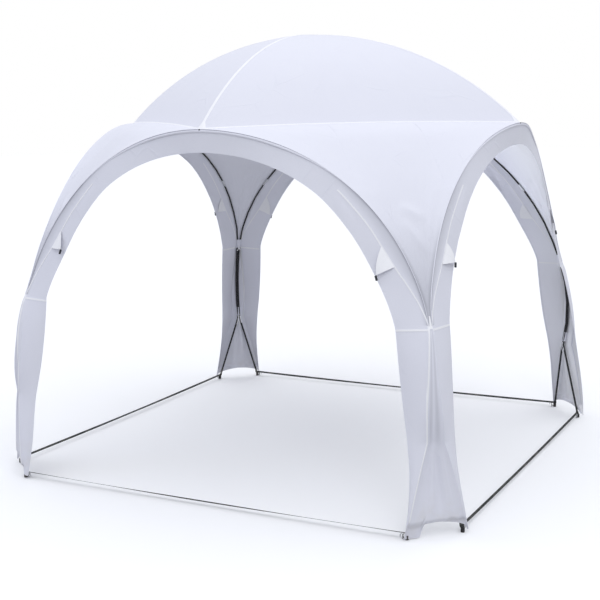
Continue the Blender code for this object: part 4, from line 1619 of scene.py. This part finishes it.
class TENT_OT_studio(bpy.types.Operator):
    """Set the pale floor, the soft light and the camera"""

    bl_idname = "tent.studio"
    bl_label = "Studio"

    def execute(self, context):
        self.lay_floor(context)
        self.set_lights(context)
        self.set_camera(context)
        context.scene.view_settings.view_transform = "Standard"
        return {"FINISHED"}

    def lay_floor(self, context):
        """A wide disk that looks paler than the light it throws back up."""
        studio = context.scene.tent_studio
        bm = bmesh.new()
        bmesh.ops.create_circle(bm, cap_ends=True, segments=96, radius=FLOOR_RADIUS)
        bmesh.ops.translate(bm, vec=(0.0, 0.0, -FLOOR_DROP), verts=bm.verts)
        mesh = bpy.data.meshes.new("studio_floor")
        bm.to_mesh(mesh)
        bm.free()
        floor = bpy.data.objects.new("studio_floor", mesh)
        context.scene.collection.objects.link(floor)
        paint = bpy.data.materials.new("Pale floor")
        paint.use_nodes = True
        tree = paint.node_tree
        shader = tree.nodes["Principled BSDF"]
        seen = tree.nodes.new("ShaderNodeLightPath").outputs["Is Camera Ray"]
        wire(tree, shader.inputs["Base Color"], blended(tree, seen, studio.floor_light, studio.floor))
        shader.inputs["Roughness"].default_value = 0.9
        shader.inputs["Specular IOR Level"].default_value = 0.1
        mesh.materials.append(paint)

    def set_lights(self, context):
        """A sky that is white to the camera and brightest overhead, and the soft lights."""
        studio = context.scene.tent_studio
        world = bpy.data.worlds.new("Soft sky")
        world.use_nodes = True
        context.scene.world = world
        tree = world.node_tree
        back = tree.nodes["Background"]
        facing = tree.nodes.new("ShaderNodeTexCoord").outputs["Generated"]
        lit = ranged(tree, split(tree, facing)[2], 0.0, 0.9, studio.sky_side, studio.sky_top)
        seen = tree.nodes.new("ShaderNodeLightPath").outputs["Is Camera Ray"]
        strength = tree.nodes.new("ShaderNodeMix")
        wire(tree, strength.inputs["Factor"], seen)
        wire(tree, strength.inputs["A"], lit)
        strength.inputs["B"].default_value = 1.0
        wire(tree, back.inputs["Color"], blended(tree, seen, studio.sky, (1.0, 1.0, 1.0, 1.0)))
        wire(tree, back.inputs["Strength"], strength.outputs["Result"])
        for name, power, colour, place, aim, size, spread in SOFT_LIGHTS:
            lamp = bpy.data.lights.new(name, "AREA")
            lamp.energy = getattr(studio, power)
            lamp.shape = "DISK"
            lamp.size = size
            lamp.spread = math.radians(spread)
            lamp.color = getattr(studio, colour)[:3]
            light = bpy.data.objects.new(name, lamp)
            context.scene.collection.objects.link(light)
            light.visible_camera = False
            light.location = place
            light.rotation_euler = (Vector(aim) - Vector(place)).to_track_quat("-Z", "Y").to_euler()

    def set_camera(self, context):
        level = math.cos(CAMERA_PITCH)
        forward = Vector((
            math.sin(CAMERA_YAW) * level, math.cos(CAMERA_YAW) * level, math.sin(CAMERA_PITCH),
        ))
        right = Vector((math.cos(CAMERA_YAW), -math.sin(CAMERA_YAW), 0.0))
        up = right.cross(forward)
        c, s = math.cos(CAMERA_ROLL), math.sin(CAMERA_ROLL)
        right, up = c * right + s * up, -s * right + c * up
        lens = bpy.data.cameras.new("studio_camera")
        lens.sensor_width = CAMERA_SENSOR
        lens.lens = CAMERA_LENS
        camera = bpy.data.objects.new("studio_camera", lens)
        context.scene.collection.objects.link(camera)
        turn = Matrix((right, up, -forward)).transposed().to_4x4()
        camera.matrix_world = Matrix.Translation(CAMERA_PLACE) @ turn
        context.scene.camera = camera


class TENT_PT_panel(bpy.types.Panel):
    """The tent's pieces, sizes and colours"""

    bl_idname = "TENT_PT_panel"
    bl_label = "Dome marquee tent"
    bl_space_type = "VIEW_3D"
    bl_region_type = "UI"
    bl_category = "Tent"

    def draw(self, context):
        for operator in OPERATORS:
            self.layout.operator(operator.bl_idname)
        for group in (context.scene.tent_sizes, context.scene.tent_colours, context.scene.tent_studio):
            box = self.layout.box()
            for name in group.bl_rna.properties.keys():
                if name not in ("rna_type", "name"):
                    box.prop(group, name)


OPERATORS = (
    TENT_OT_studio,
    TENT_OT_poles,
    TENT_OT_roof,
    TENT_OT_corners,
    TENT_OT_valances,
    TENT_OT_legs,
    TENT_OT_tabs,
    TENT_OT_ties,
    TENT_OT_straps,
)
CLASSES = (TentSizes, TentColours, TentStudio, *OPERATORS, TENT_PT_panel)


def register():
    for cls in CLASSES:
        bpy.utils.register_class(cls)
    bpy.types.Scene.tent_sizes = PointerProperty(type=TentSizes)
    bpy.types.Scene.tent_colours = PointerProperty(type=TentColours)
    bpy.types.Scene.tent_studio = PointerProperty(type=TentStudio)


def unregister():
    del bpy.types.Scene.tent_studio
    del bpy.types.Scene.tent_colours
    del bpy.types.Scene.tent_sizes
    for cls in reversed(CLASSES):
        bpy.utils.unregister_class(cls)


def main():
    register()
    for operator in OPERATORS:
        getattr(bpy.ops.tent, operator.bl_idname.split(".")[1])()


if __name__ == "__main__":
    main()
